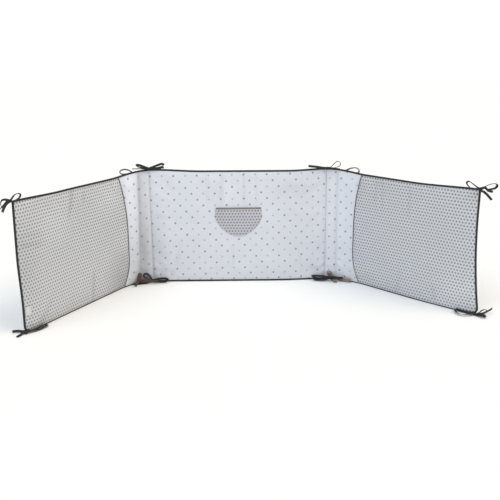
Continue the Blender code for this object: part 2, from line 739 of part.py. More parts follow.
def build_label():
    cell = CELLS["panel_left"][0]
    near_grid, far_grid = [], []
    for row in range(LABEL_STEPS + 1):
        near_row, far_row = [], []
        for column in range(LABEL_STEPS + 1):
            along = LABEL_ALONG + LABEL_SIZE[0] * column / LABEL_STEPS
            height = LABEL_BOTTOM + LABEL_SIZE[1] * row / LABEL_STEPS
            surface = half_thickness(cell, along, height) + 3 * GAP
            far_row.append(place(along, height, surface))
            near_row.append(place(along, height, surface + LABEL_THICK))
        near_grid.append(near_row)
        far_grid.append(far_row)
    add_slab("label", near_grid, far_grid, "label")


# ---- ties --------------------------------------------------------------------------------------------
def smooth_route(points, step):
    """Points about a step apart on a smooth curve through the given points."""
    ends = [2 * points[0] - points[1]] + points + [2 * points[-1] - points[-2]]
    route = [points[0]]
    for before, start, end, after in zip(ends, ends[1:], ends[2:], ends[3:]):
        count = max(1, round((end - start).length / step))
        for index in range(1, count + 1):
            t = index / count
            route.append(0.5 * (2 * start + (end - before) * t
                                + (2 * before - 5 * start + 4 * end - after) * t * t
                                + (3 * start - before - 3 * end + after) * t * t * t))
    return route


def nearest_along(point):
    """The place along the bumper that is nearest to a point, seen from above."""
    flat = Vector((point.x, point.y))
    tried = range(0, PLAN_STEPS + 1, NEAREST_STEP)
    index = min(tried, key=lambda k: (PLAN[k] - flat).length_squared)
    return index * LENGTH / PLAN_STEPS


def settle(point, wide, thick, lift):
    """Moves a point of a tape's route clear of the floor, the rim and the padded faces."""
    def reach(direction):
        return abs(wide.dot(direction)) + abs(thick.dot(direction))

    level = Vector((0, 0, 1))
    point = Vector((point.x, point.y, max(point.z, TIE_CLEARANCE + lift + reach(level))))
    along = nearest_along(point)
    out = front(along)
    offset = point - middle(along, min(point.z, HEIGHT))
    offset.z = 0
    across = offset.dot(out)
    if (offset - across * out).length > END_ZONE + wide.length:
        return point
    rim_top = top(along)
    from_rim = min(point.z, rim_top - point.z) + reach(level) - BINDING_DEPTH
    body = max(BINDING_HALF, RIM_HALF + PANEL_CROWN * swell(from_rim, CROWN_REACH))
    needed = body + reach(out) + TIE_CLEARANCE + lift
    if point.z - reach(level) > rim_top + TIE_CLEARANCE or abs(across) > needed:
        return point
    if point.z > rim_top - RIM_ZONE and abs(across) < BINDING_HALF:
        point.z = rim_top + TIE_CLEARANCE + lift + reach(level)
        return point
    return point + (math.copysign(needed, across) - across) * out


def tape_sections(route, width, roll_start, roll_end, near, lift):
    """The four corners of a flat tape at each point of its route."""
    runs = []
    for index in range(len(route)):
        ahead = route[min(index + 1, len(route) - 1)]
        behind = route[max(index - 1, 0)]
        runs.append((ahead - behind).normalized())
    flat = runs[0].cross(near)
    if flat.length < FACING_LEAST:
        flat = runs[0].cross(Vector((0, 0, 1)))
    flat.normalize()
    sections = []
    for index, (point, run) in enumerate(zip(route, runs)):
        if index:
            flat = runs[index - 1].rotation_difference(run) @ flat
        roll = roll_start + (roll_end - roll_start) * index / (len(route) - 1)
        across = Matrix.Rotation(math.radians(roll), 3, run) @ flat
        normal = run.cross(across).normalized()
        wide, thick = across * width / 2, normal * TIE_THICK / 2
        point = settle(point, wide, thick, lift)
        sections.append([point + wide + thick, point - wide + thick,
                         point - wide - thick, point + wide - thick])
    return sections


def build_knot(name, centre, material):
    """The wrapped middle of a bow."""
    shape = bmesh.new()
    bmesh.ops.create_uvsphere(shape, u_segments=KNOT_SEGMENTS, v_segments=KNOT_RINGS, radius=1.0)
    bmesh.ops.scale(shape, vec=Vector(KNOT_SIZE), verts=shape.verts)
    bmesh.ops.triangulate(shape, faces=shape.faces)
    mesh = bpy.data.meshes.new(name)
    shape.to_mesh(mesh)
    shape.free()
    mesh.materials.append(finish(material))
    knot = bpy.data.objects.new(name, mesh)
    knot.location = centre
    bpy.context.scene.collection.objects.link(knot)
    return knot


def build_tie(name, tie):
    material = "brown" if "brown" in name else "charcoal"
    turn = math.radians(tie["heading"])
    right = Vector((math.cos(turn), math.sin(turn), 0))
    near = Vector((math.sin(turn), -math.cos(turn), 0))
    centre = place(*tie["knot"])
    knot = build_knot(name, centre, material)
    for order, (strand, row) in enumerate(tie["strands"].items()):
        *stops, roll_start, roll_end = row
        points = [centre + MM * (a * right + b * Vector((0, 0, 1)) + c * near) for a, b, c in stops]
        route = smooth_route(points, TIE_STEP)
        tape = add_sweep(name + " " + strand,
                         tape_sections(route, tie["width"], roll_start, roll_end, near,
                                       order * STRAND_LIFT), material)
        tape.hide_render = True
        tape.display_type = "WIRE"
        union = knot.modifiers.new(strand, "BOOLEAN")
        union.operation = "UNION"
        union.solver = "EXACT"
        union.use_self = True
        union.object = tape


# ---- the whole bumper ---------------------------------------------------------------------------------
def clear_scene():
    for thing in list(bpy.data.objects):
        bpy.data.objects.remove(thing, do_unlink=True)


def main():
    clear_scene()
    build_panel("panel_left", "grey print")
    build_panel("panel_centre", "white print")
    build_panel("panel_right", "grey print")
    build_bindings()
    build_piping("left")
    build_piping("right")
    build_pocket()
    build_label()
    for name, tie in TIES.items():
        build_tie(name, tie)


main()
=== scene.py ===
"""Crib bumper: the looks of a padded cot surround standing in an open U.

Laid out as a Blender add-on and run as a script.  Metres, +Z up.  A place on the
bumper is (along, height, across): along its bottom edge from the left end, up from
the floor, and out of its middle surface towards the inside of the U.
"""
import json
import math

import bpy
from mathutils import Euler, Matrix, Vector, noise
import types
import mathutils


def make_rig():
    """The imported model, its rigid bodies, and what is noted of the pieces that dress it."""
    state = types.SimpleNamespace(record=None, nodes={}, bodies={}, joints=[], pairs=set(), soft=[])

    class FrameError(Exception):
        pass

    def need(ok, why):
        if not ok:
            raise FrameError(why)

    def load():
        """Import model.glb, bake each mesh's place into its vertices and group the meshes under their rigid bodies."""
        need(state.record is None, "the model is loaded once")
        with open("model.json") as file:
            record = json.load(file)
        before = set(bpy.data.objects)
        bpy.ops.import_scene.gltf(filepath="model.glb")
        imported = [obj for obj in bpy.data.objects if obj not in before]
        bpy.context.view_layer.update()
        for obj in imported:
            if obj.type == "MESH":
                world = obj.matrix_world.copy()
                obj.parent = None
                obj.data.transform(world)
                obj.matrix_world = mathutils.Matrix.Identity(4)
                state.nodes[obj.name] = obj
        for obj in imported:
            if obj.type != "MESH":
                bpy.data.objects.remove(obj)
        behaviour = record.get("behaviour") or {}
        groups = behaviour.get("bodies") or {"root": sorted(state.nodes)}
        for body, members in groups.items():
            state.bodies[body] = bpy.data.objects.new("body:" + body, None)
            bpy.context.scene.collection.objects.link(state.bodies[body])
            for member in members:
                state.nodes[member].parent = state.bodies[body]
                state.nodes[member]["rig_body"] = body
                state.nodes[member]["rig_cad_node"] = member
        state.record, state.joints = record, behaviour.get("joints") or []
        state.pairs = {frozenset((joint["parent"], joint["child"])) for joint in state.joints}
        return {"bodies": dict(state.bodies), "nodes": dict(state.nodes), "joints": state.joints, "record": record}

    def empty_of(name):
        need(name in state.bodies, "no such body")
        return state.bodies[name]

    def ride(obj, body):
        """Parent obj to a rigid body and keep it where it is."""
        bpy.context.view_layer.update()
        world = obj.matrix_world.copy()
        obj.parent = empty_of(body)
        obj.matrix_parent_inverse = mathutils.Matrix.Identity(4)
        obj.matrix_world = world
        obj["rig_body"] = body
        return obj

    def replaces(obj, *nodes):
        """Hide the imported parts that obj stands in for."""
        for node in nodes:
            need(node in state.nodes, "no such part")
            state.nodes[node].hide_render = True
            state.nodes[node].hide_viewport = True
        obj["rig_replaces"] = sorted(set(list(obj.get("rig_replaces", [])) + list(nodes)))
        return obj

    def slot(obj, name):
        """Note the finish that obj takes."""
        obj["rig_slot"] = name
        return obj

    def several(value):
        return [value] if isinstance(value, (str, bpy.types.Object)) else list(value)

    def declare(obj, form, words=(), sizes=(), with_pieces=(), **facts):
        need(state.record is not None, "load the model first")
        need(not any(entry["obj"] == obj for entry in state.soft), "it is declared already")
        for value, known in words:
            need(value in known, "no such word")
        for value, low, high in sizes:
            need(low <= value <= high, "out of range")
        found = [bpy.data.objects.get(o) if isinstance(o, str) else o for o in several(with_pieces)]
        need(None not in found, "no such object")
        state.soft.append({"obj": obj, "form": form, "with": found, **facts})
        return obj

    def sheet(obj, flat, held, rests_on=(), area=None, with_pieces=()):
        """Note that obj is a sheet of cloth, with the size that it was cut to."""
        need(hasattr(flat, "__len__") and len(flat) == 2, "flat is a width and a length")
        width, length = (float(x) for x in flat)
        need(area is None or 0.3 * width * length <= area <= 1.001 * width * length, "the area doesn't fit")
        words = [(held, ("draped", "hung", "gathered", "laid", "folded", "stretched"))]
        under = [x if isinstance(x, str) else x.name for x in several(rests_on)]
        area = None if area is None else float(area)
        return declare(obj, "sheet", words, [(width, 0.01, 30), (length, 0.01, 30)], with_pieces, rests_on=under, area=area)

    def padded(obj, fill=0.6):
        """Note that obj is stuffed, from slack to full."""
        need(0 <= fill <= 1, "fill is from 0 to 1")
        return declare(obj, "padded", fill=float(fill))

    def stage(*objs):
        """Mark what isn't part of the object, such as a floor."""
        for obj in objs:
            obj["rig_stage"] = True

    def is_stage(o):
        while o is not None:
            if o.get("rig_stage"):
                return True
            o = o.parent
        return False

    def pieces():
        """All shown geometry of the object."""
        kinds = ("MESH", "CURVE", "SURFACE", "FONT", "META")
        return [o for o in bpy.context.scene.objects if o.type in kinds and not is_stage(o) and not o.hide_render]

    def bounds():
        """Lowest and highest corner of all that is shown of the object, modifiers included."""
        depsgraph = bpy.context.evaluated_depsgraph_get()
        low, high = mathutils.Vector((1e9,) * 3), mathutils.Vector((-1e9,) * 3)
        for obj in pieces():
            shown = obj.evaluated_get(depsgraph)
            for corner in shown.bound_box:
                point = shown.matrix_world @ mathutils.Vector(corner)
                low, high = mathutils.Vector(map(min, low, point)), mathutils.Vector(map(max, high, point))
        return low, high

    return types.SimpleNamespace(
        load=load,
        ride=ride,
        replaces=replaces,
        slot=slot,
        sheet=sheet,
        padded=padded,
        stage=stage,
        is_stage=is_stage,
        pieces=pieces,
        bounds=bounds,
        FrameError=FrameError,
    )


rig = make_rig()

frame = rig.load()

bl_info = {
    "name": "Crib Bumper",
    "version": (1, 0, 0),
    "blender": (4, 5, 0),
    "location": "View3D > Sidebar > Bumper",
    "description": "Builds the cloth, padding, stitching and ties of a cot bumper around its frame",
    "category": "Object",
}

BODY = "root"
SIZE_FILE = "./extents.json"
CLOTH_MAP = "Cloth"           # UV map in metres of cloth, for weave and print
BAKE_MAP = "OFBake"           # UV map in which front and back lie side by side
MM = 0.001

# ---- whole bumper, the same values as the solids ----
LENGTH = 1.80
HEIGHT = 0.404
START_HEADING = 60.3
PLAN_STEPS = 1800
GAP = 0.0003

BENDS = (
    # where,               start, end,   turn in degrees
    ("left corner",        0.433, 0.650, -60.3),
    ("right of centre",    1.000, 1.190, 8.7),
    ("right corner",       1.122, 1.399, -56.6),
    ("right panel",        1.500, 1.700, 4.4),
)
RIM = (
    # where,               along, rise,    lean back
    ("left end",           0.000, 0.0000,  -0.003),
    ("left panel",         0.200, -0.0070, 0.000),
    ("left seam",          0.450, -0.0100, 0.000),
    ("left corner ties",   0.605, 0.0030,  0.006),
    ("centre, left",       0.780, -0.0020, 0.000),
    ("centre, right",      1.080, -0.0020, 0.000),
    ("right corner ties",  1.215, 0.0020,  0.004),
    ("right seam",         1.360, -0.0100, 0.000),
    ("right panel",        1.530, -0.0095, 0.000),
    ("right end",          1.800, -0.0010, 0.004),
)
BELLIES = (
    # where,               along, reach, amount forward
    ("left panel",         0.240, 0.230, -0.006),
    ("centre panel",       0.905, 0.300, 0.003),
    ("right panel",        1.580, 0.220, -0.006),
)
FOLDS = {
    # name,         bottom, top
    "left outer":   (0.546, 0.558),
    "left inner":   (0.597, 0.594),
    "right inner":  (1.213, 1.209),
    "right outer":  (1.253, 1.247),
}
SEAMS = {
    # name,    along at middle, away at top, from height, away at bottom, below height
    "left":    (0.5055, -0.037, 0.190, -0.033, 0.110),
    "right":   (1.3140, 0.028,  0.210, 0.033,  0.130),
}
SEAM_CURVE_TOP = 2.2
SEAM_CURVE_BOTTOM = 2.4
END_CORNER_RADIUS = 0.022
LEFT_END_SLANT = 0.0068
LEFT_END_RISE = (0.08, 0.24)
RIGHT_END_SLANT = 0.0255
RIGHT_END_SLANT_HEIGHT = 0.34

RIM_HALF = 0.0011
SEAM_HALF = 0.0018
CROWN_REACH = 0.065
RIM_REACH = 0.020
SMALLEST_ROW = 0.002
PANEL_CROWN = 0.0068
STRIP_CROWN = 0.0045

BINDING_DEPTH = 0.0056
BINDING_TUCKED = 0.0032
BINDING_HALF = 0.0026
BINDING_SOLE = 0.0013
BINDING_WALL_IN = 0.0014
BINDING_FOLD = 0.0014
BINDING_JOINTS = (0.575, 1.231)
TUCK_LEFT = 0.545
TUCK_RIGHT = 1.270
TUCK_EASE = 0.060
TUCK_END_EASE = 0.020
PAD_INSET = BINDING_FOLD + GAP
BINDING_ROOM = 2 * GAP
FREE_INSET = BINDING_DEPTH + BINDING_ROOM

PIPING_LIFT = 0.0030           # clear of the two pads that it lies between
PIPING_TOP_ROOM = 0.008

POCKET_ALONG = 0.9012
POCKET_TOP = 0.2715
POCKET_TOP_HALF = 0.0786
POCKET_HALF = 0.0825
POCKET_SIDE = 0.0285
POCKET_ARC = 0.0735
POCKET_ROUND = 1.35
POCKET_TIP = 0.9995
POCKET_TIP_HALF = 0.0020
POCKET_THICK = 0.0012
POCKET_BINDING = 0.0045
POCKET_BINDING_THICK = 0.0024
POCKET_BINDING_OVER = 0.0010
LABEL_ALONG = 0.0066
LABEL_BOTTOM = 0.0531
LABEL_SIZE = (0.0193, 0.0297)

TIE_THICK = 0.0018
TIE_WIDTH = 0.0080
BROWN_WIDTH = 0.0125
TIE_CLEARANCE = 0.0010
RIM_ZONE = 0.004
END_ZONE = 0.003
FACING_LEAST = 0.3
NEAREST_STEP = 4
STRAND_LIFT = 0.0003
KNOT_SIZE = (0.0055, 0.0045, 0.0042)

# padded pieces: the CAD node each stands for, its material slot and its cells
PADS = {
    # piece:              (node,           slot,          ((left line, right line, crown), ...))
    "pad_left":           ("panel_left",   "grey_print",
                           (("left end", "left seam", PANEL_CROWN),)),
    "pad_corner_left":    ("panel_centre", "white_print",
                           (("left seam", "left outer", STRIP_CROWN),
                            ("left outer", "left inner", STRIP_CROWN))),
    "pad_centre":         ("panel_centre", "white_print",
                           (("left inner", "right inner", PANEL_CROWN),)),
    "pad_corner_right":   ("panel_centre", "white_print",
                           (("right inner", "right outer", STRIP_CROWN),
                            ("right outer", "right seam", STRIP_CROWN))),
    "pad_right":          ("panel_right",  "grey_print",
                           (("right seam", "right end", PANEL_CROWN),)),
}

# Soft creases left by packing, and pulls in the side panels: along and height at both
# ends, width, how far they press in, and the depth of the shade painted along them
CREASES = (
    (0.788, 0.285, 0.790, 0.392, 0.0070, 0.0015, 0.06),
    (0.838, 0.290, 0.846, 0.392, 0.0080, 0.0024, 0.14),
    (0.920, 0.285, 0.920, 0.394, 0.0060, 0.0022, 0.13),
    (0.962, 0.290, 0.964, 0.392, 0.0060, 0.0018, 0.08),
    (0.881, 0.060, 0.882, 0.128, 0.0060, 0.0016, 0.09),
    (0.660, 0.020, 0.690, 0.120, 0.0100, 0.0017, 0.06),
    (1.140, 0.020, 1.112, 0.110, 0.0100, 0.0017, 0.06),
    (0.221, 0.320, 0.245, 0.396, 0.0105, 0.0034, 0.35),
    (0.293, 0.345, 0.296, 0.396, 0.0080, 0.0022, 0.19),
    (0.443, 0.350, 0.428, 0.390, 0.0080, 0.0020, 0.18),
    (0.320, 0.100, 0.306, 0.010, 0.0100, 0.0030, 0.29),
    (0.005, 0.296, 0.095, 0.284, 0.0090, 0.0020, 0.14),
    (0.005, 0.268, 0.090, 0.256, 0.0110, 0.0026, 0.22),
    (0.060, 0.010, 0.120, 0.070, 0.0110, 0.0022, 0.16),
    (1.402, 0.315, 1.400, 0.385, 0.0070, 0.0018, 0.10),
    (1.428, 0.285, 1.425, 0.388, 0.0080, 0.0022, 0.14),
    (1.535, 0.285, 1.532, 0.380, 0.0090, 0.0020, 0.12),
    (1.500, 0.010, 1.515, 0.070, 0.0100, 0.0020, 0.12),
    (1.655, 0.010, 1.640, 0.070, 0.0100, 0.0020, 0.13),
)

# ---- relief of the cloth ----
CLOTH_STEP = 0.0042           # size of a pad's faces
PUCKER_PITCH = 70.0           # gathers in a metre of stitching
PUCKER_RIM = 0.0018           # their height beside the binding
PUCKER_RIM_REACH = 0.024
PUCKER_SEAM = 0.0015          # and beside a fold or an arc seam
PUCKER_SEAM_REACH = 0.020
PULL = 0.0030                 # longer, wider pulls that run in from the seams
PULL_PITCH = 22.0
PULL_REACH = 0.105
PUCKER_SLANT = 0.35           # how far a gather leans for each metre into the cloth
PUCKER_FADE = 6.75            # makes a gather's highest point 1
PUCKER_DEEP = 14.0            # changes of its height in a metre into the cloth
PUCKER_FINE = (2.3, 30.0, 0.5)         # a finer gather's pitch, changes and share
CREASE_FADE = 0.3             # share of its length over which a crease fades past its ends
CREASE_RAMP = 0.5             # and over which it reaches its full depth
CREASE_SWAY = 0.0022
CREASE_RIDGE = 0.45           # height of the ridges beside a crease
CREASE_RIDGE_OFF = 1.7        # how far off they lie, in widths of the crease
CREASE_SHADE_REACH = 1.5       # and how far off the shade painted along it fades
SLACK_REACH = 0.050           # how far from a seam the cloth lies loose
SLACK_WIDE = 0.0042           # slow waves of the loose cloth
SLACK_SMALL = 0.0020          # quick ones
WAVES_WIDE = (7.0, 8.5)       # how often they come in a metre, along and up
WAVES_SMALL = (19.0, 21.0)
HOLLOW_MOST = 0.6             # share of the filling that a hollow may take

BINDING_STEP = 0.0045
BINDING_WAVE = 0.00022        # unevenness of the folded tape
BINDING_WAVES = 55.0          # and how often it comes in a metre
CORNER_STEPS = 10
TAPE_STEP = 0.0022
TAPE_VISIBLE = 0.0018         # thickness of a charcoal tie's tape
BROWN_VISIBLE = 0.0027        # and of a brown one's
KNOT_TURNS = 3                # wraps that show round a knot
KNOT_RIDGE = 0.00045
FAR_SHARE = 0.62              # share of a pad's bake map that its front takes
TAPE_SMOOTHING = 3            # rounds that smooth a tape's route where it was pushed aside
KNOT_RINGS = 18
KNOT_SEGMENTS = 14
KNOT_FACET = 0.0011           # width of a segment on its cloth
KNOT_TIPS = (0.02, 0.98)      # shares of its width at which its end rings close
KNOT_PHASE = 0.6
KNOT_BLUNT = 0.7
LEAST_FLAT_WIDTH = 0.010      # of a tie that is declared as a sheet
POCKET_ROWS = 40
POCKET_COLUMNS = 64
POCKET_STITCH_STEPS = 90
LABEL_STEPS = 8
LABEL_CURL = 0.0006           # how far its free edge lifts
LABEL_THICK = 0.0007
LABEL_SEWN = 0.0012           # from its edges in to its stitches
LABEL_FAR_SHARE = 0.6         # shares of the bake maps of label and pocket for their fronts
POCKET_FAR_SHARE = 0.8
POCKET_LOOSE = 0.030          # how far in from its sewn edge, and down, its cloth is loose
POCKET_LOOSE_RAMP = 0.35
POCKET_SLACK = 0.0009         # how far its loose cloth stands off the panel
POCKET_WAVE = 0.0008
POCKET_MOUTH = 0.0012
POCKET_GATHER = 0.0005
THREAD_RADIUS = 0.00028
THREAD_PROUD = THREAD_RADIUS * 0.4     # how far a stitch's middle stands off the cloth
THREAD_PROUD_BINDING = THREAD_RADIUS * 0.3
THREAD_TWIST = 0.0006         # length of a turn of its plies
FOLD_STITCH_STEP = 0.005
POCKET_STITCH_INSETS = (0.0016, 0.0058)
PIPING_RADIUS = 0.0009        # of the seam cord with its cover drawn tight
PIPING_STEP = 0.006
PIPING_TWIST = 0.0011
STITCH_INSET = 0.74           # share of a binding's depth at which it is sewn
POCKET_TAPE_SECTION = (
    # share of thickness, share of height down from its top
    (0.00, 0.02), (0.45, 0.00), (0.85, 0.10), (1.00, 0.35), (1.00, 0.75), (0.80, 0.97),
    (0.00, 1.00),
)
WHITE_PRINT_LIE = (0.9445, 0.0330, 0.9)       # a dark star, and the turn of the rows
POCKET_PRINT_LIE = (0.9012, 0.2300, 0.0)
PAINTED_SHADE_TONE = 0.55            # colour of the cloth under the deepest painted shade, as a share of its ground
WHITE_SHADE_OVER_ALL = 0.25            # painted shade over all the open white cloth, which painted highlights may take away
# painted shade over all the grey cloth of the left panel
GREY_SHADE_OVER_ALL = 0.20
HINGE_SHADE_STARTS = (0.545, 0.556)  # the left hinge strip, along the bumper, where painted shade darkens it
HINGE_SHADE_ENDS = (0.556, 0.602)   # where the painted shade fades out again
HINGE_SHADE_DEPTH = 0.35
LOWER_SHADE_HEIGHTS = (0.0, 0.26)      # heights between which painted shade darkens the lower part a little
LOWER_SHADE_DEPTH = 0.13
FOLD_SHADE_REACH = 0.011           # reach of the shade painted along a stitched fold line
FOLD_SHADE_DEPTHS = {"left outer": 0.20, "left inner": 0.14, "right inner": 0.10, "right outer": 0.18}
# Patches of painted shade, and of painted highlight where their depth is below 0
SHADE_AND_LIGHT_PATCHES = (
    # where,                     along, height, reach along, reach up, depth
    ("left panel's end",         0.000, 0.200,  0.120,       0.220,    0.24),
    ("left panel's low corner",  0.480, 0.000,  0.150,       0.190,    0.58),
    ("left panel's bottom",      0.200, 0.000,  0.300,       0.060,    0.18),
    ("left panel, upper right",  0.420, 0.340,  0.120,       0.100,    -0.20),
    ("left panel, left",         0.160, 0.300,  0.110,       0.090,    -0.16),
    ("left return, top",         0.520, 0.380,  0.040,       0.230,    -0.28),
    ("left return, low",         0.525, 0.040,  0.040,       0.170,    0.22),
    ("left hinge, low",          0.560, 0.080,  0.038,       0.240,    0.28),
    ("centre, beside the hinge", 0.597, 0.130,  0.070,       0.240,    0.22),
    ("centre, top left",         0.680, 0.330,  0.130,       0.110,    -0.05),
    ("centre, ridge",            0.861, 0.320,  0.030,       0.070,    -0.08),
    ("centre, top right",        1.110, 0.400,  0.160,       0.180,    0.15),
    ("centre, right of pocket",  1.100, 0.190,  0.120,       0.150,    0.08),
    ("centre, right low corner", 1.190, 0.010,  0.120,       0.090,    -0.20),
    ("right strips",             1.250, 0.200,  0.060,       0.320,    -0.06),
    ("right hinge, low",         1.270, 0.030,  0.060,       0.100,    -0.18),
    ("right panel's top",        1.420, 0.400,  0.180,       0.100,    0.10),
    ("right panel's bottom",     1.470, 0.000,  0.220,       0.070,    0.12),
    ("right panel, low end",     1.740, 0.060,  0.120,       0.110,    -0.18),
)
STAR_NOTCH = 0.46             # a star's notches, as a share of its tips
STAR_BLUR = 0.00015           # softness of the printed edge
POPLIN_THREAD = 0.00042       # pitch of the printed cottons' threads
TAPE_THREAD = 0.00055         # and of the tapes'
SLUB_STRETCH = 0.12           # how fast the yarn's thickness changes along it, against across
YARN_SHARES = (0.55, 0.25, 0.20)       # of weave, and of both threads' unevenness, in height
INK_COVER = 0.86              # share of the ink that the cloth's grain leaves alone
RIBBON_RIB = 0.0005
PLY_SLANT = 0.6
# tones of each finish, as shares of its colour: deepest, palest
POPLIN_TONES = (0.975, 1.02)
TAPE_TONES = (0.8, 1.35)
RIBBON_TONES = (0.96, 1.03)
THREAD_TONES = (0.75, 1.2)
FLOOR_TONES = (0.99, 1.0)
LEFT_SPAN = (-0.01, 0.50)     # each print along the bumper: grey, white with its returns, grey
WHITE_SPAN = (0.50, 1.30)
RIGHT_SPAN = (1.30, LENGTH)

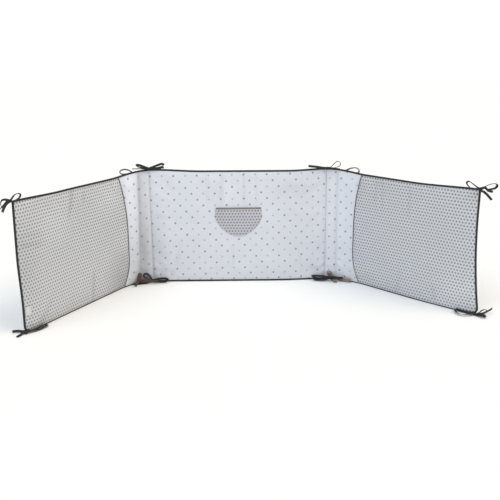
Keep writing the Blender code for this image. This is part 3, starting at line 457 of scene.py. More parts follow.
# Each tie: where its knot is (along, height, across), the heading of its own right
# hand in degrees, and its strands.  A strand is its points in millimetres from the
# knot (right, up, near), and its roll at both ends in degrees: 0 shows the tape's
# full width from the front, 90 shows its edge.
TIES = {
    "tie_left_top": ((-0.0132, 0.4045, 0.0010), 0, {
        "raised loop": ((0, 0, 1), (6, 8, 2), (13, 17, 3), (24, 23, 4), (31, 21, 5),
                        (31, 15, 6), (25, 8, 6), (14, 2, 4), (1, -1, 2), 60, 110),
        "hanging loop": ((0, 1, 0), (-8, 4, 2), (-17, 5, 3), (-24, 1, 4), (-26, -10, 5),
                         (-23, -17, 4), (-15, -17, 2), (-9, -8, 1), (-1, -1, 0), 50, 110),
        "long tail": ((0, 0, 0), (-9, -6, 6), (-17, -18, 7), (-22, -30, 8), 10, 30),
        "short tail": ((-1, 0, -1), (-9, 0, -5), (-20, -11, -6), (-31, -23, -6), 40, 60),
    }),
    "tie_left_bottom": ((0.0083, 0.0094, 0.0078), 0, {
        "long loop": ((0, 0, 0), (6, -2, -9), (18, -6, -29), (28, -4, -48), (36, -5, -58),
                      (43, -4, -51), (38, -4, -42), (28, -6, -27), (14, -3, -10), (-1, 1, 0),
                      56, 88),
        "side tail": ((0, 0, 0), (-9, -1, 3), (-17, -3, 1), (-29, -2, -2), (-48, -3, -1), 40, 12),
        "front tail": ((0, 0, 0), (-8, -5, 5), (-15, -6, 8), (-20, -6, 19), (-26, -7, 31), 52, 71),
    }),
    "tie_right_top": ((1.7710, 0.4034, 0.0078), 0, {
        "inner loop": ((0, 1, 0), (-11, 8, 3), (-26, 19, 4), (-34, 24, 5), (-42, 21, 6),
                       (-39, 14, 6), (-33, 7, 7), (-20, 1, 9), (1, -1, 2), 61, 115),
        "outer loop": ((0, 1, 0), (15, 6, 2), (32, 13, 0), (46, 15, 0), (54, 13, 0), (56, 7, -3),
                       (50, 1, -1), (39, -2, -2), (20, -3, 1), (-1, -2, 1), 56, 106),
        "level tail": ((0, 0, 0), (13, -1, 5), (26, -5, 5), (41, -9, 5), 14, 14),
        "falling tail": ((0, 0, 0), (10, -8, -1), (25, -17, -3), (43, -36, -4), 25, 38),
    }),
    "tie_right_bottom": ((1.7909, 0.0074, 0.0078), 0, {
        "long loop": ((0, 0, 0), (-11, -1, -9), (-23, -2, -23), (-38, -2, -39), (-47, -2, -38),
                      (-50, -2, -26), (-47, -2, -8), (-34, -2, 5), (-14, -1, 4), (0, 1, 0), 51, 84),
        "raised loop": ((0, 0, 0), (8, 1, 4), (17, 4, 2), (29, 9, -4), (38, 10, -6), (43, 6, -5),
                        (34, 2, 0), (18, -1, 3), (-1, -2, -1), 64, 110),
        "front loop": ((0, 0, 0), (9, -3, 9), (16, -4, 20), (23, -4, 29), (29, -3, 26),
                       (27, -2, 14), (14, -2, 6), (1, -1, -1), 64, 89),
        "side tail": ((0, 0, 0), (14, 0, 6), (30, 1, 2), (48, 3, -10), (67, 5, -26), 32, 14),
    }),
    "tie_corner_left_top": ((0.5937, 0.4094, 0.0078), 10, {
        "left loop": ((0, 1, 1), (-12, 6, 3), (-24, 11, 4), (-35, 15, 3), (-43, 13, -1),
                      (-38, 8, -5), (-26, 4, -6), (-12, 2, -3), (0, 1, -1), 0, 10),
        "right loop": ((0, 1, 1), (14, 6, 3), (30, 12, 4), (44, 16, 3), (52, 12, -1),
                       (46, 7, -5), (30, 3, -6), (14, 2, -3), (0, 1, -1), 0, 10),
        "left tail": ((0, 0, 0), (-17, 0, 0), (-37, 1, -2), (-57, 1, -2), 84, 88),
        "right tail": ((0, 0, 0), (16, 0, 0), (34, 1, -1), (52, 2, -1), 15, 10),
    }),
    "tie_corner_left_bottom": ((0.5874, 0.0089, 0.0078), 12, {
        "standing loop": ((0, 1, 1), (0, 7, 3), (-5, 16, 5), (-11, 24, 6), (-19, 28, 6),
                          (-26, 26, 6), (-27, 18, 6), (-21, 11, 6), (-10, 6, 4), (2, 0, 1), 52, 80),
        "long loop": ((0, 0, 0), (12, 2, 2), (32, 5, 4), (50, 5, 7), (59, 1, 12), (51, -3, 19),
                      (34, -4, 18), (16, -3, 10), (0, 2, 0), 13, 31),
        "left tail": ((0, 0, 0), (-12, -5, 6), (-28, -7, 10), (-46, -7, 13), (-64, -8, 15), 80, 84),
    }),
    "tie_corner_right_top": ((1.2183, 0.4069, 0.0078), 0, {
        "raised loop": ((0, 0, 0), (7, 5, 0), (15, 14, 0), (24, 22, 0), (32, 23, 0), (38, 18, 0),
                        (38, 10, 0), (30, 4, 1), (15, 1, 1), (0, 0, 1), 82, 98),
        "left tail": ((0, 0, 0), (-22, 1, 1), (-47, 5, 2), (-73, 8, 3), 15, 5),
        "right tail": ((0, 0, 0), (12, 0, 5), (24, -1, 9), (35, -2, 14), 40, 50),
    }),
    "tie_corner_right_bottom": ((1.2315, 0.0146, 0.0235), -9, {
        "left loop": ((0, 1, 2), (-14, 4, 5), (-34, 6, 6), (-54, 5, 4), (-63, 1, 0),
                      (-56, -3, -3), (-36, -4, -2), (-18, -3, -1), (0, 0, 0), 5, 15),
        "right loop": ((0, 1, 1), (12, 2, 4), (28, 3, 8), (40, 2, 9), (48, 1, 5),
                       (40, 0, 1), (24, 0, -1), (12, 0, -1), (0, 0, 0), 5, 15),
        "left tail": ((0, 0, 0), (-10, -6, 4), (-24, -9, 5), (-42, -9, 5), (-56, -9, 4), 60, 80),
        "low tail": ((0, 0, 0), (7, -6, 8), (16, -10, 14), (27, -10, 20), 60, 80),
    }),
    "tie_brown_left_top": ((0.5417, 0.3960, -0.0095), 10, {
        "loop": ((0, 1, 0), (-8, 7, -1), (-18, 12, -1), (-30, 13, 0), (-39, 10, 0), (-44, 4, 0),
                 (-40, -1, 0), (-30, -4, -1), (-16, -3, -2), (0, -1, -2), 84, 96),
        "tail": ((0, 0, 0), (3, -5, -2), (5, -13, -3), (6, -23, -3), (6, -34, -3), 0, 0),
    }),
    "tie_brown_left_bottom": ((0.5389, 0.0104, 0.0078), 24, {
        "standing loop": ((0, 1, 2), (-1, 9, 6), (1, 18, 8), (4, 26, 8), (6, 31, 4), (4, 27, 0),
                          (1, 18, -1), (0, 9, -1), (1, 1, 0), -12, 6),
        "long tail": ((0, 0, 0), (14, 1, 9), (30, 2, 17), (46, 2, 23), (61, -1, 26), 17, 24),
        "front tail": ((0, 0, 0), (-6, 0, 8), (-12, -1, 15), (-17, -4, 21), (-22, -8, 29), 0, 4),
    }),
    "tie_brown_right_top": ((1.2738, 0.3960, -0.0095), -8, {
        "loop": ((0, 1, 0), (9, 7, -1), (22, 11, -1), (34, 12, 0), (43, 7, 0), (46, -1, 0),
                 (41, -6, 0), (30, -6, -1), (16, -2, -2), (0, -1, -2), 62, 92),
        "tail": ((0, 0, 0), (-3, -5, -2), (-5, -13, -3), (-6, -23, -3), (-6, -34, -3), 0, 0),
    }),
    "tie_brown_right_bottom": ((1.2361, 0.0135, 0.0092), -14, {
        "standing loop": ((0, 1, 0), (3, 6, 1), (2, 13, 3), (-3, 18, 4), (-9, 18, 4),
                          (-13, 14, 4), (-12, 8, 2), (-6, 4, 1), (0, 0, 0), 80, 90),
        "tail": ((0, 0, 0), (14, -2, 1), (28, -5, 4), (44, -6, 10), (58, -6, 14), (72, -6, 18), 10, 5),
    }),
}


# ---- the bumper's middle surface ----
def ease(value):
    """A smooth step from 0 to 1."""
    value = min(max(value, 0.0), 1.0)
    return value * value * (3 - 2 * value)


def heading(along):
    """The direction of the bumper seen from above, in radians."""
    turned = sum(turn * ease((along - start) / (end - start)) for _, start, end, turn in BENDS)
    return math.radians(START_HEADING + turned)


def plan_curve():
    """The bottom edge as points from above, with the middle of the bumper at the origin."""
    step = LENGTH / PLAN_STEPS
    points = [Vector((0, 0))]
    for index in range(PLAN_STEPS):
        direction = heading((index + 0.5) * step)
        points.append(points[-1] + step * Vector((math.cos(direction), math.sin(direction))))
    centre = points[PLAN_STEPS // 2]
    return [point - centre for point in points]


PLAN = plan_curve()


def plan(along):
    """A point of the bottom edge from above; past the ends it runs on straight."""
    reached = along / LENGTH * PLAN_STEPS
    index = min(max(int(reached), 0), PLAN_STEPS - 1)
    return PLAN[index].lerp(PLAN[index + 1], reached - index)


def rim(along):
    """How much the top edge stands up, and how far it leans back."""
    rows = [row[1:] for row in RIM]
    for (start, *low), (end, *high) in zip(rows, rows[1:]):
        if along <= end:
            part = ease((along - start) / (end - start))
            return [a + (b - a) * part for a, b in zip(low, high)]
    return rows[-1][1:]


def top(along):
    """Height of the top edge."""
    return HEIGHT + rim(along)[0]


def front(along):
    """The level direction that the padded face points in, into the U."""
    return Vector((math.sin(heading(along)), -math.cos(heading(along)), 0))


def middle(along, height):
    """A point of the bumper's middle surface."""
    part = height / HEIGHT
    forward = -rim(along)[1] * part * part
    for _, centre, reach, amount in BELLIES:
        away = min(abs(along - centre) / reach, 1.0)
        forward += amount * (1 - ease(away)) * math.sin(math.pi * min(part, 1.0))
    flat = plan(along)
    return Vector((flat.x, flat.y, height)) + forward * front(along)


def place(along, height, across):
    """A point at a distance across, in front of the middle surface."""
    return middle(along, height) + across * front(along)


def line(name, height, inset=0.0):
    """Where a named line is along the bumper, at a height."""
    if name == "left end":
        low, high = LEFT_END_RISE
        return inset - LEFT_END_SLANT * ease((height - low) / (high - low))
    if name == "right end":
        share = (height - END_CORNER_RADIUS) / (RIGHT_END_SLANT_HEIGHT - END_CORNER_RADIUS)
        share = min(max(share, 0.0), 1.0)
        return LENGTH - RIGHT_END_SLANT * share * (2 - share) - inset
    if name in FOLDS:
        low, high = FOLDS[name]
        return low + (high - low) * height / HEIGHT
    straight, away_top, above, away_bottom, below = SEAMS[name.split()[0]]
    up = max(height - above, 0.0) / (HEIGHT - above)
    down = max(below - height, 0.0) / below
    return straight + away_top * up ** SEAM_CURVE_TOP + away_bottom * down ** SEAM_CURVE_BOTTOM


def bottom(along, inset):
    """Height of the pad's lower edge, with its rounded end corners."""
    from_end = min(along, LENGTH - along)
    if from_end >= END_CORNER_RADIUS:
        return inset
    reach = END_CORNER_RADIUS - inset
    sideways = END_CORNER_RADIUS - from_end
    return END_CORNER_RADIUS - math.sqrt(max(reach * reach - sideways * sideways, 0.0))


def bottom_leg(along, facing):
    """Depth of the bottom binding's front (facing 1) or back (facing -1) leg."""
    if facing < 0:
        return BINDING_DEPTH
    beside = max(ease((TUCK_LEFT - along) / TUCK_EASE), ease((along - TUCK_RIGHT) / TUCK_EASE))
    from_end = min(along, LENGTH - along)
    tucked = beside * ease((from_end - END_CORNER_RADIUS) / TUCK_END_EASE)
    return BINDING_DEPTH + (BINDING_TUCKED - BINDING_DEPTH) * tucked


def free_rows(along, facing):
    """The lowest and the highest place where a pad's face is clear of the binding."""
    low = bottom(along, PAD_INSET)
    free = bottom_leg(along, facing) + BINDING_ROOM
    return max(bottom(along, free), low + SMALLEST_ROW), top(along) - FREE_INSET


def swell(distance, reach):
    """Fullness of the filling at a distance from a seam: 0 at it, 1 past its reach."""
    part = min(max(distance / reach, 0.0), 1.0)
    return math.sqrt(1 - (1 - part) ** 2)


def from_sides(cell, along, height):
    """The distance to the cell's nearer side, and half the pad's thickness there."""
    sides = []
    for name, sign in ((cell[0], 1), (cell[1], -1)):
        if name in ("left end", "right end"):
            sides.append((sign * (along - line(name, height, FREE_INSET)), RIM_HALF))
        else:
            sides.append((sign * (along - line(name, height)), SEAM_HALF))
    return min(sides)


def half_thickness(cell, along, height, facing=1):
    """How far a pad's smooth front or back face stands from the middle surface."""
    across, edge = from_sides(cell, along, height)
    low, high = free_rows(along, facing)
    upright = min(height - low, high - height)
    width = line(cell[1], height) - line(cell[0], height)
    full = swell(across, min(CROWN_REACH, width / 2)) * swell(upright, CROWN_REACH)
    near_rim = 1 - swell(upright, RIM_REACH)
    return edge + (RIM_HALF - edge) * near_rim + cell[2] * full


# ---- the cloth's own relief ----
def puckers(run, away, side, reach, seed, pitch=PUCKER_PITCH):
    """Small gathers that a row of stitches draws into the cloth beside it."""
    if away <= 0 or away >= reach:
        return 0.0
    fade = away / reach
    shape = fade * (1 - fade) ** 2 * PUCKER_FADE
    slant = run + side * away * PUCKER_SLANT
    finer, deeper, share = PUCKER_FINE
    return shape * (noise.noise(Vector((slant * pitch, away * PUCKER_DEEP, seed)))
                    + share * noise.noise(Vector((slant * pitch * finer, away * deeper, seed + 5))))


def creases(along, height):
    """Soft lines pressed into the cloth, as depths out of its face."""
    total = 0.0
    for a0, h0, a1, h1, width, depth, _ in CREASES:
        run = Vector((a1 - a0, h1 - h0))
        here = Vector((along - a0, height - h0))
        part = here.dot(run) / run.length_squared
        if not -CREASE_FADE < part < 1 + CREASE_FADE:
            continue
        sway = CREASE_SWAY * noise.noise(Vector((part * 3.0, a0 * 50, 1.0)))
        off = (here.x * run.y - here.y * run.x) / run.length + sway
        ends = (ease((part + CREASE_FADE) / CREASE_RAMP)
                * ease((1 + CREASE_FADE - part) / CREASE_RAMP))
        beside = math.exp(-(off / width) ** 2)
        ridge = math.exp(-((abs(off) - CREASE_RIDGE_OFF * width) / width) ** 2)
        total -= depth * ends * (beside - CREASE_RIDGE * ridge)
    return total


def relief(cell, along, height, facing):
    """How far the cloth stands out of the pad's smooth face: gathers, creases and slack."""
    across, _ = from_sides(cell, along, height)
    low, high = free_rows(along, facing)
    room = min(across, height - low, high - height)
    if room <= 0:
        return 0.0
    slack = ease(room / SLACK_REACH)
    wide = noise.noise(Vector((along * WAVES_WIDE[0], height * WAVES_WIDE[1], 3.0 * facing)))
    small = noise.noise(Vector((along * WAVES_SMALL[0], height * WAVES_SMALL[1], 7.0 * facing)))
    total = slack * (SLACK_WIDE * wide + SLACK_SMALL * small)
    total += PUCKER_RIM * puckers(along, height - low, 1, PUCKER_RIM_REACH, 2.0 * facing)
    total += PUCKER_RIM * puckers(along, high - height, -1, PUCKER_RIM_REACH, 4.0 * facing)
    total += PUCKER_SEAM * puckers(height, across, 1, PUCKER_SEAM_REACH, 6.0 * facing + cell[2])
    total += PULL * puckers(along, high - height, -1, PULL_REACH, 21.0 * facing, PULL_PITCH)
    total += PULL * puckers(along, height - low, 1, PULL_REACH, 23.0 * facing, PULL_PITCH)
    total += PULL * puckers(height, across, 1, PULL_REACH, 25.0 * facing + cell[2], PULL_PITCH)
    if facing > 0:
        total += slack * creases(along, height)
    floor = -HOLLOW_MOST * (half_thickness(cell, along, height, facing) - RIM_HALF)
    return max(total, floor)


def cloth(cell, along, height, facing, lift=0.0):
    """A point of a pad's cloth, or a little above it."""
    out = half_thickness(cell, along, height, facing) + relief(cell, along, height, facing)
    return place(along, height, facing * (out + lift))


# ---- meshes ----
EVEN_SHARE = 0.75             # of evenly spaced rows, in rows that close up at both ends
BAR_BAKE = (0.01, 0.98, 0.03, 0.90)    # a bar on its bake map: left, width, bottom, height
BAR_END = 0.002               # radius of a bar's end on its cloth map
BAR_END_BAKE = (0.02, 0.05, 0.975, 4)  # both ends on its bake map: across, up, how much larger
GRID_BAKE_EDGE = 0.004        # bare edge round each face of a sheet on its bake map
GRID_BAKE_TOP = 0.976
RIM_BAKE = (0.982, 0.997)

def put_in_scene(name, data):
    """A new object, at the origin."""
    thing = bpy.data.objects.new(name, data)
    bpy.context.scene.collection.objects.link(thing)
    return thing


def stand_piece(name, mesh, slot):
    """A finished mesh as a piece of the bumper, at the origin."""
    thing = put_in_scene(name, mesh)
    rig.ride(thing, BODY)
    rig.slot(thing, slot)
    return thing


def new_object(name, points, faces, maps, material, slot):
    """A finished mesh at the origin.  maps holds UV maps: name -> one (u, v) for each corner."""
    mesh = bpy.data.meshes.new(name)
    mesh.from_pydata([tuple(point) for point in points], [], faces)
    for map_name, corners in maps.items():
        layer = mesh.uv_layers.new(name=map_name)
        layer.data.foreach_set("uv", [value for corner in corners for value in corner])
    mesh.shade_smooth()
    mesh.materials.append(material)
    mesh.update()
    return stand_piece(name, mesh, slot)


def corner_map(faces, spots):
    """A UV map for faces, from one (u, v) for each point."""
    return [spots[index] for face in faces for index in face]


def spaced(start, end, step, least=8):
    """Shares from 0 to 1 in steps of about a length, a little closer together at both ends."""
    count = max(least, math.ceil((end - start) / step))
    even = [k / count for k in range(count + 1)]
    return [EVEN_SHARE * t + (1 - EVEN_SHARE) * (1 - math.cos(math.pi * t)) / 2 for t in even]


def smooth_route(points, step):
    """Points about a step apart on a smooth curve through the given points."""
    ends = [2 * points[0] - points[1]] + points + [2 * points[-1] - points[-2]]
    route = [points[0]]
    for before, start, end, after in zip(ends, ends[1:], ends[2:], ends[3:]):
        count = max(1, round((end - start).length / step))
        for index in range(1, count + 1):
            t = index / count
            route.append(0.5 * (2 * start + (end - before) * t
                                + (2 * before - 5 * start + 4 * end - after) * t * t
                                + (3 * start - before - 3 * end + after) * t * t * t))
    return route


def sweep(name, sections, girths, material, slot):
    """A closed bar through cross-sections, with cloth mapped along and round it."""
    count = len(sections[0])
    points = [point for section in sections for point in section]
    run = [0.0]
    for before, after in zip(sections, sections[1:]):
        run.append(run[-1] + (after[0] - before[0]).length)
    around = girths[-1]
    longest = max(run[-1], 1e-6)
    left, wide, bottom, high = BAR_BAKE
    first_end, last_end, ends_up, larger = BAR_END_BAKE
    faces, cloth_uv, bake_uv = [], [], []
    for index in range(len(sections) - 1):
        for corner in range(count):
            a = index * count + corner
            b = index * count + (corner + 1) % count
            faces.append((b, a, a + count, b + count))
            near, far = girths[corner], girths[corner + 1]
            for at, side in ((index, far), (index, near), (index + 1, near), (index + 1, far)):
                cloth_uv.append((run[at], side))
                bake_uv.append((left + wide * run[at] / longest, bottom + high * side / around))
    for first, base in ((True, 0), (False, len(points) - count)):
        cap = tuple(range(count)) if first else tuple(base + k for k in reversed(range(count)))
        faces.append(cap)
        for index in cap:
            turn = 2 * math.pi * (index - base) / count
            spot = (BAR_END * math.cos(turn), BAR_END * math.sin(turn))
            cloth_uv.append(spot)
            bake_uv.append(((first_end if first else last_end) + larger * spot[0],
                            ends_up + larger * spot[1]))
    return new_object(name, points, faces, {CLOTH_MAP: cloth_uv, BAKE_MAP: bake_uv},
                      material, slot)


def girth(outline):
    """Distances round a closed outline, from its first point back to it."""
    total, found = 0.0, [0.0]
    for here, ahead in zip(outline, outline[1:] + outline[:1]):
        total += math.dist(here, ahead)
        found.append(total)
    return found


# ---- finishes ----
def add_node(tree, kind, settings, sockets):
    """A new node of a tree: its settings first, then its sockets' values or links."""
    made = tree.nodes.new(kind)
    for name, value in settings.items():
        setattr(made, name, value)
    for name, value in sockets.items():
        if isinstance(value, Value):
            value = value.socket
        if isinstance(value, bpy.types.NodeSocket):
            tree.links.new(value, made.inputs[name])
        else:
            made.inputs[name].default_value = value
    return made


class Value:
    """A number in a tree of nodes.  Python's operators on it add Math nodes."""

    def __init__(self, tree, socket):
        self.tree = tree
        self.socket = socket

    def maths(self, operation, *terms):
        made = add_node(self.tree, "ShaderNodeMath", {"operation": operation},
                        dict(enumerate(terms)))
        return Value(self.tree, made.outputs[0])

    def __add__(self, other):
        return self.maths("ADD", self, other)

    def __radd__(self, other):
        return self.maths("ADD", other, self)

    def __sub__(self, other):
        return self.maths("SUBTRACT", self, other)

    def __rsub__(self, other):
        return self.maths("SUBTRACT", other, self)

    def __mul__(self, other):
        return self.maths("MULTIPLY", self, other)

    def __rmul__(self, other):
        return self.maths("MULTIPLY", other, self)

    def __truediv__(self, other):
        return self.maths("DIVIDE", self, other)

    def __mod__(self, other):
        return self.maths("FLOORED_MODULO", self, other)

    def __abs__(self):
        return self.maths("ABSOLUTE", self)

    def __round__(self):
        return self.maths("ROUND", self)

    def sin(self):
        return self.maths("SINE", self)

    def cos(self):
        return self.maths("COSINE", self)

    def root(self):
        return self.maths("SQRT", self)

    def angle_to(self, other):
        """The angle of the point (other, self)."""
        return self.maths("ARCTAN2", self, other)

    def share(self, low, high):
        """0 below low, 1 above high, smooth between them."""
        made = add_node(self.tree, "ShaderNodeMapRange", {"interpolation_type": "SMOOTHSTEP"},
                        {"Value": self, "From Min": low, "From Max": high})
        return Value(self.tree, made.outputs["Result"])


class Finish:
    """A material of this object while it is being built."""

    def __init__(self, name, roughness, sheen=0.0, specular=0.35):
        self.material = bpy.data.materials.new(name)
        self.material.use_nodes = True
        self.tree = self.material.node_tree
        self.tree.nodes.clear()
        self.shader = self.node("ShaderNodeBsdfPrincipled", {}, {
            "Roughness": roughness, "Sheen Weight": sheen, "Sheen Roughness": 0.5,
            "Specular IOR Level": specular})
        self.node("ShaderNodeOutputMaterial", {}, {"Surface": self.shader.outputs[0]})

    def node(self, kind, settings, sockets):
        return add_node(self.tree, kind, settings, sockets)

    def value(self, node, output):
        return Value(self.tree, node.outputs[output])

    def cloth_place(self):
        """Where a point is on the flat cloth, along and up, in metres."""
        uv = self.node("ShaderNodeUVMap", {"uv_map": CLOTH_MAP}, {})
        parts = self.node("ShaderNodeSeparateXYZ", {}, {"Vector": uv.outputs["UV"]})
        return self.value(parts, "X"), self.value(parts, "Y")

    def at(self, x, y, z=0.0):
        return self.node("ShaderNodeCombineXYZ", {}, {"X": x, "Y": y, "Z": z}).outputs[0]

    def noise(self, vector, scale, detail=2.0, rough=0.5):
        made = self.node("ShaderNodeTexNoise", {}, {
            "Vector": vector, "Scale": scale, "Detail": detail, "Roughness": rough})
        return self.value(made, "Fac")

    def tones(self, factor, colour, shares):
        """A colour between the deepest and the palest of its tones."""
        return self.mix(factor, colour4(colour, shares[0]), colour4(colour, shares[1]))

    def mix(self, factor, first, second):
        """A colour between two others."""
        made = self.node("ShaderNodeMix", {"data_type": "RGBA"}, {0: factor, 6: first, 7: second})
        return made.outputs[2]

    def paint(self, colour):
        self.tree.links.new(colour, self.shader.inputs["Base Color"])

    def roughen(self, value):
        self.tree.links.new(value.socket, self.shader.inputs["Roughness"])

    def raise_surface(self, height, distance, strength=1.0):
        bump = self.node("ShaderNodeBump", {}, {
            "Height": height, "Distance": distance, "Strength": strength})
        self.tree.links.new(bump.outputs["Normal"], self.shader.inputs["Normal"])


def colour4(colour, share=1.0):
    """A colour for a socket, deeper or paler by a share."""
    return (colour[0] * share, colour[1] * share, colour[2] * share, 1.0)


def weave_height(finish, along, up, pitch):
    """Threads of a plain weave, uneven as cotton yarn is: 0 between them, 1 on top."""
    across_wave = (along * (math.pi / pitch)).sin()
    up_wave = (up * (math.pi / pitch)).sin()
    over = abs(across_wave * up_wave)
    slubs = finish.noise(finish.at(along, up * SLUB_STRETCH), scale=900.0)
    slubs_up = finish.noise(finish.at(along * SLUB_STRETCH, up), scale=900.0)
    return over * YARN_SHARES[0] + slubs * YARN_SHARES[1] + slubs_up * YARN_SHARES[2]


def star_mask(finish, along, up, pitch, row, size):
    """Five-point stars in rows, every second row half a pitch aside.

    Gives 1 on a star and 0 beside it, and the number of its rising diagonal.
    """
    falling = along / pitch - up / (2 * row)
    rising = along / pitch + up / (2 * row)
    fall_number, rise_number = round(falling), round(rising)
    fall_off, rise_off = falling - fall_number, rising - rise_number
    x = (fall_off + rise_off) * (pitch / 2)
    y = (rise_off - fall_off) * row
    chance = finish.node("ShaderNodeTexWhiteNoise", {"noise_dimensions": "2D"},
                         {"Vector": finish.at(fall_number, rise_number)})
    fifth = 2 * math.pi / 5
    turn = finish.value(chance, "Value") * fifth
    reach = (x * x + y * y).root()
    angle = abs((y.angle_to(x) + turn) % fifth - fifth / 2)
    tip_x, tip_y = size, 0.0
    notch_x = size * STAR_NOTCH * math.cos(fifth / 2)
    notch_y = size * STAR_NOTCH * math.sin(fifth / 2)
    side = math.dist((tip_x, tip_y), (notch_x, notch_y))
    edge_x, edge_y = (notch_x - tip_x) / side, (notch_y - tip_y) / side
    outside = (reach * angle.cos() - tip_x) * edge_y - (reach * angle.sin()) * edge_x
    return 1 - outside.share(-STAR_BLUR, STAR_BLUR), rise_number


def painted_shade_and_light(along, up, start, end, shade_over_all):
    """How deep the painted shade is on the cloth between two places along the bumper: in creases and corners, less
    where patches paint highlights.
    """
    total = shade_over_all
    # painted shade along the creases
    for a0, h0, a1, h1, width, _, depth in CREASES:
        if not start < a0 < end:
            continue
        across, rise = a1 - a0, h1 - h0
        length = math.hypot(across, rise)
        off = abs((along - a0) * (rise / length) - (up - h0) * (across / length))
        part = ((along - a0) * (across / length) + (up - h0) * (rise / length)) / length
        ends = (part.share(-CREASE_FADE, CREASE_RAMP - CREASE_FADE)
                * (1 - part.share(1 + CREASE_FADE - CREASE_RAMP, 1 + CREASE_FADE)))
        total = total + (1 - off.share(0.0, width * CREASE_SHADE_REACH)) * ends * depth
    # patches of painted shade, and painted highlights where depth is below 0
    for _, a, h, reach, reach_up, depth in SHADE_AND_LIGHT_PATCHES:
        if start < a < end:
            x, y = (along - a) / reach, (up - h) / reach_up
            total = total + (1 - (x * x + y * y).root().share(0.0, 1.0)) * depth
    return total


def white_shade_and_light(along, up):
    """The white cloth's painted shade: along its fold lines, on its left hinge, towards its lower edge, and in creases
    and patches, with painted highlights.
    """
    # painted shade on the left hinge strip and towards the lower edge
    hinge_shade = along.share(*HINGE_SHADE_STARTS) * (1 - along.share(*HINGE_SHADE_ENDS))
    total = hinge_shade * HINGE_SHADE_DEPTH + (1 - up.share(*LOWER_SHADE_HEIGHTS)) * LOWER_SHADE_DEPTH
    # painted shade along each stitched fold line
    for name, (low, high) in FOLDS.items():
        away = abs(along - up * ((high - low) / HEIGHT) - low)
        total = total + (1 - away.share(0.0, FOLD_SHADE_REACH)) * FOLD_SHADE_DEPTHS[name]
    return total + painted_shade_and_light(along, up, *WHITE_SPAN, WHITE_SHADE_OVER_ALL)


def grey_shade_and_light(along, up):
    """The grey cloth's painted shade and painted highlights, on the left and the right panel."""
    return (painted_shade_and_light(along, up, *LEFT_SPAN, GREY_SHADE_OVER_ALL)
            + painted_shade_and_light(along, up, *RIGHT_SPAN, 0.0))


def print_cotton(name, ground, pitch, row, size, inks, lie=(0.0, 0.0, 0.0), deeper=None):
    """White or grey cotton poplin with a small all-over star print.

    lie is where one star is on the cloth and how far the rows are turned, in degrees;
    deeper gives the depth of painted shade at a place on the cloth.
    """
    finish = Finish(name, roughness=0.9, sheen=0.10, specular=0.25)
    along, up = finish.cloth_place()
    from_star, above_star, turn = along - lie[0], up - lie[1], math.radians(lie[2])
    stars, diagonal = star_mask(finish, from_star * math.cos(turn) + above_star * math.sin(turn),
                                above_star * math.cos(turn) - from_star * math.sin(turn),
                                pitch, row, size)
    tone = finish.noise(finish.at(along, up), scale=22.0, detail=3.0)
    cloth_colour = finish.tones(tone, ground, POPLIN_TONES)
    if deeper:
        # painted shade: the ground turns towards a darker copy of itself
        cloth_colour = finish.mix(deeper(along, up), cloth_colour, colour4(ground, PAINTED_SHADE_TONE))
    ink = finish.mix(diagonal % 2, colour4(inks[0]), colour4(inks[1]))
    grain = finish.noise(finish.at(along, up), scale=1400.0)
    cover = stars * (INK_COVER + (1 - INK_COVER) * grain)
    finish.paint(finish.mix(cover, cloth_colour, ink))
    weave = weave_height(finish, along, up, POPLIN_THREAD)
    finish.roughen(0.84 + 0.12 * weave)
    finish.raise_surface(weave, distance=0.00010, strength=0.6)
    return finish.material


def tape_cotton(name, colour):
    """Plain dyed cotton for the binding and the ties, painted a little paler on its threads' tops as a painted
    highlight, and unevenly faded.
    """
    finish = Finish(name, roughness=0.88, sheen=0.06, specular=0.20)
    along, up = finish.cloth_place()
    weave = weave_height(finish, along, up, TAPE_THREAD)
    faded = finish.noise(finish.at(along, up), scale=60.0, detail=4.0)
    # the weave's share paints the threads' tops paler, a painted highlight; the noise's share is the cotton's uneven
    # fading
    finish.paint(finish.tones(weave * 0.6 + faded * 0.4, colour, TAPE_TONES))
    finish.roughen(0.80 + 0.14 * weave)
    finish.raise_surface(weave, distance=0.00014, strength=0.8)
    return finish.material


def satin_ribbon(name, colour):
    """The label's smooth woven ribbon: fine ribs across it."""
    finish = Finish(name, roughness=0.5, sheen=0.1, specular=0.45)
    along, up = finish.cloth_place()
    ribs = abs((up * (math.pi / RIBBON_RIB)).sin())
    faded = finish.noise(finish.at(along, up), scale=120.0, detail=3.0)
    finish.paint(finish.tones(faded, colour, RIBBON_TONES))
    finish.roughen(0.42 + 0.16 * ribs)
    finish.raise_surface(ribs * 0.7 + faded * 0.3, distance=0.00006, strength=0.6)
    return finish.material


def twisted_thread(name, colour, twist):
    """Sewing thread or piping cord, on Object coordinates: fine slanting plies, painted paler on their crests as a
    painted highlight.
    """
    finish = Finish(name, roughness=0.7, sheen=0.2, specular=0.35)
    place_node = finish.node("ShaderNodeTexCoord", {}, {})
    parts = finish.node("ShaderNodeSeparateXYZ", {}, {"Vector": place_node.outputs["Object"]})
    x, y, z = (finish.value(parts, axis) for axis in "XYZ")
    plies = ((x * PLY_SLANT + y * PLY_SLANT + z) * (2 * math.pi / twist)).sin() * 0.5 + 0.5
    faded = finish.noise(place_node.outputs["Object"], scale=260.0, detail=3.0)
    # the plies' crests are painted paler, a painted highlight; the noise's share is the thread's own uneven tone
    finish.paint(finish.tones(plies * 0.6 + faded * 0.4, colour, THREAD_TONES))
    finish.roughen(0.62 + 0.16 * faded)
    finish.raise_surface(plies, distance=0.00012, strength=0.7)
    return finish.material


def studio_floor(name, colour):
    """The pale floor, with hardly any change of tone."""
    finish = Finish(name, roughness=0.9, specular=0.1)
    place_node = finish.node("ShaderNodeTexCoord", {}, {})
    tone = finish.noise(place_node.outputs["Object"], scale=0.7)
    finish.paint(finish.tones(tone, colour, FLOOR_TONES))
    return finish.material


def finish_of(name, make, *values):
    """A named material, made the first time that a piece asks for it."""
    return bpy.data.materials.get(name) or make(name, *values)


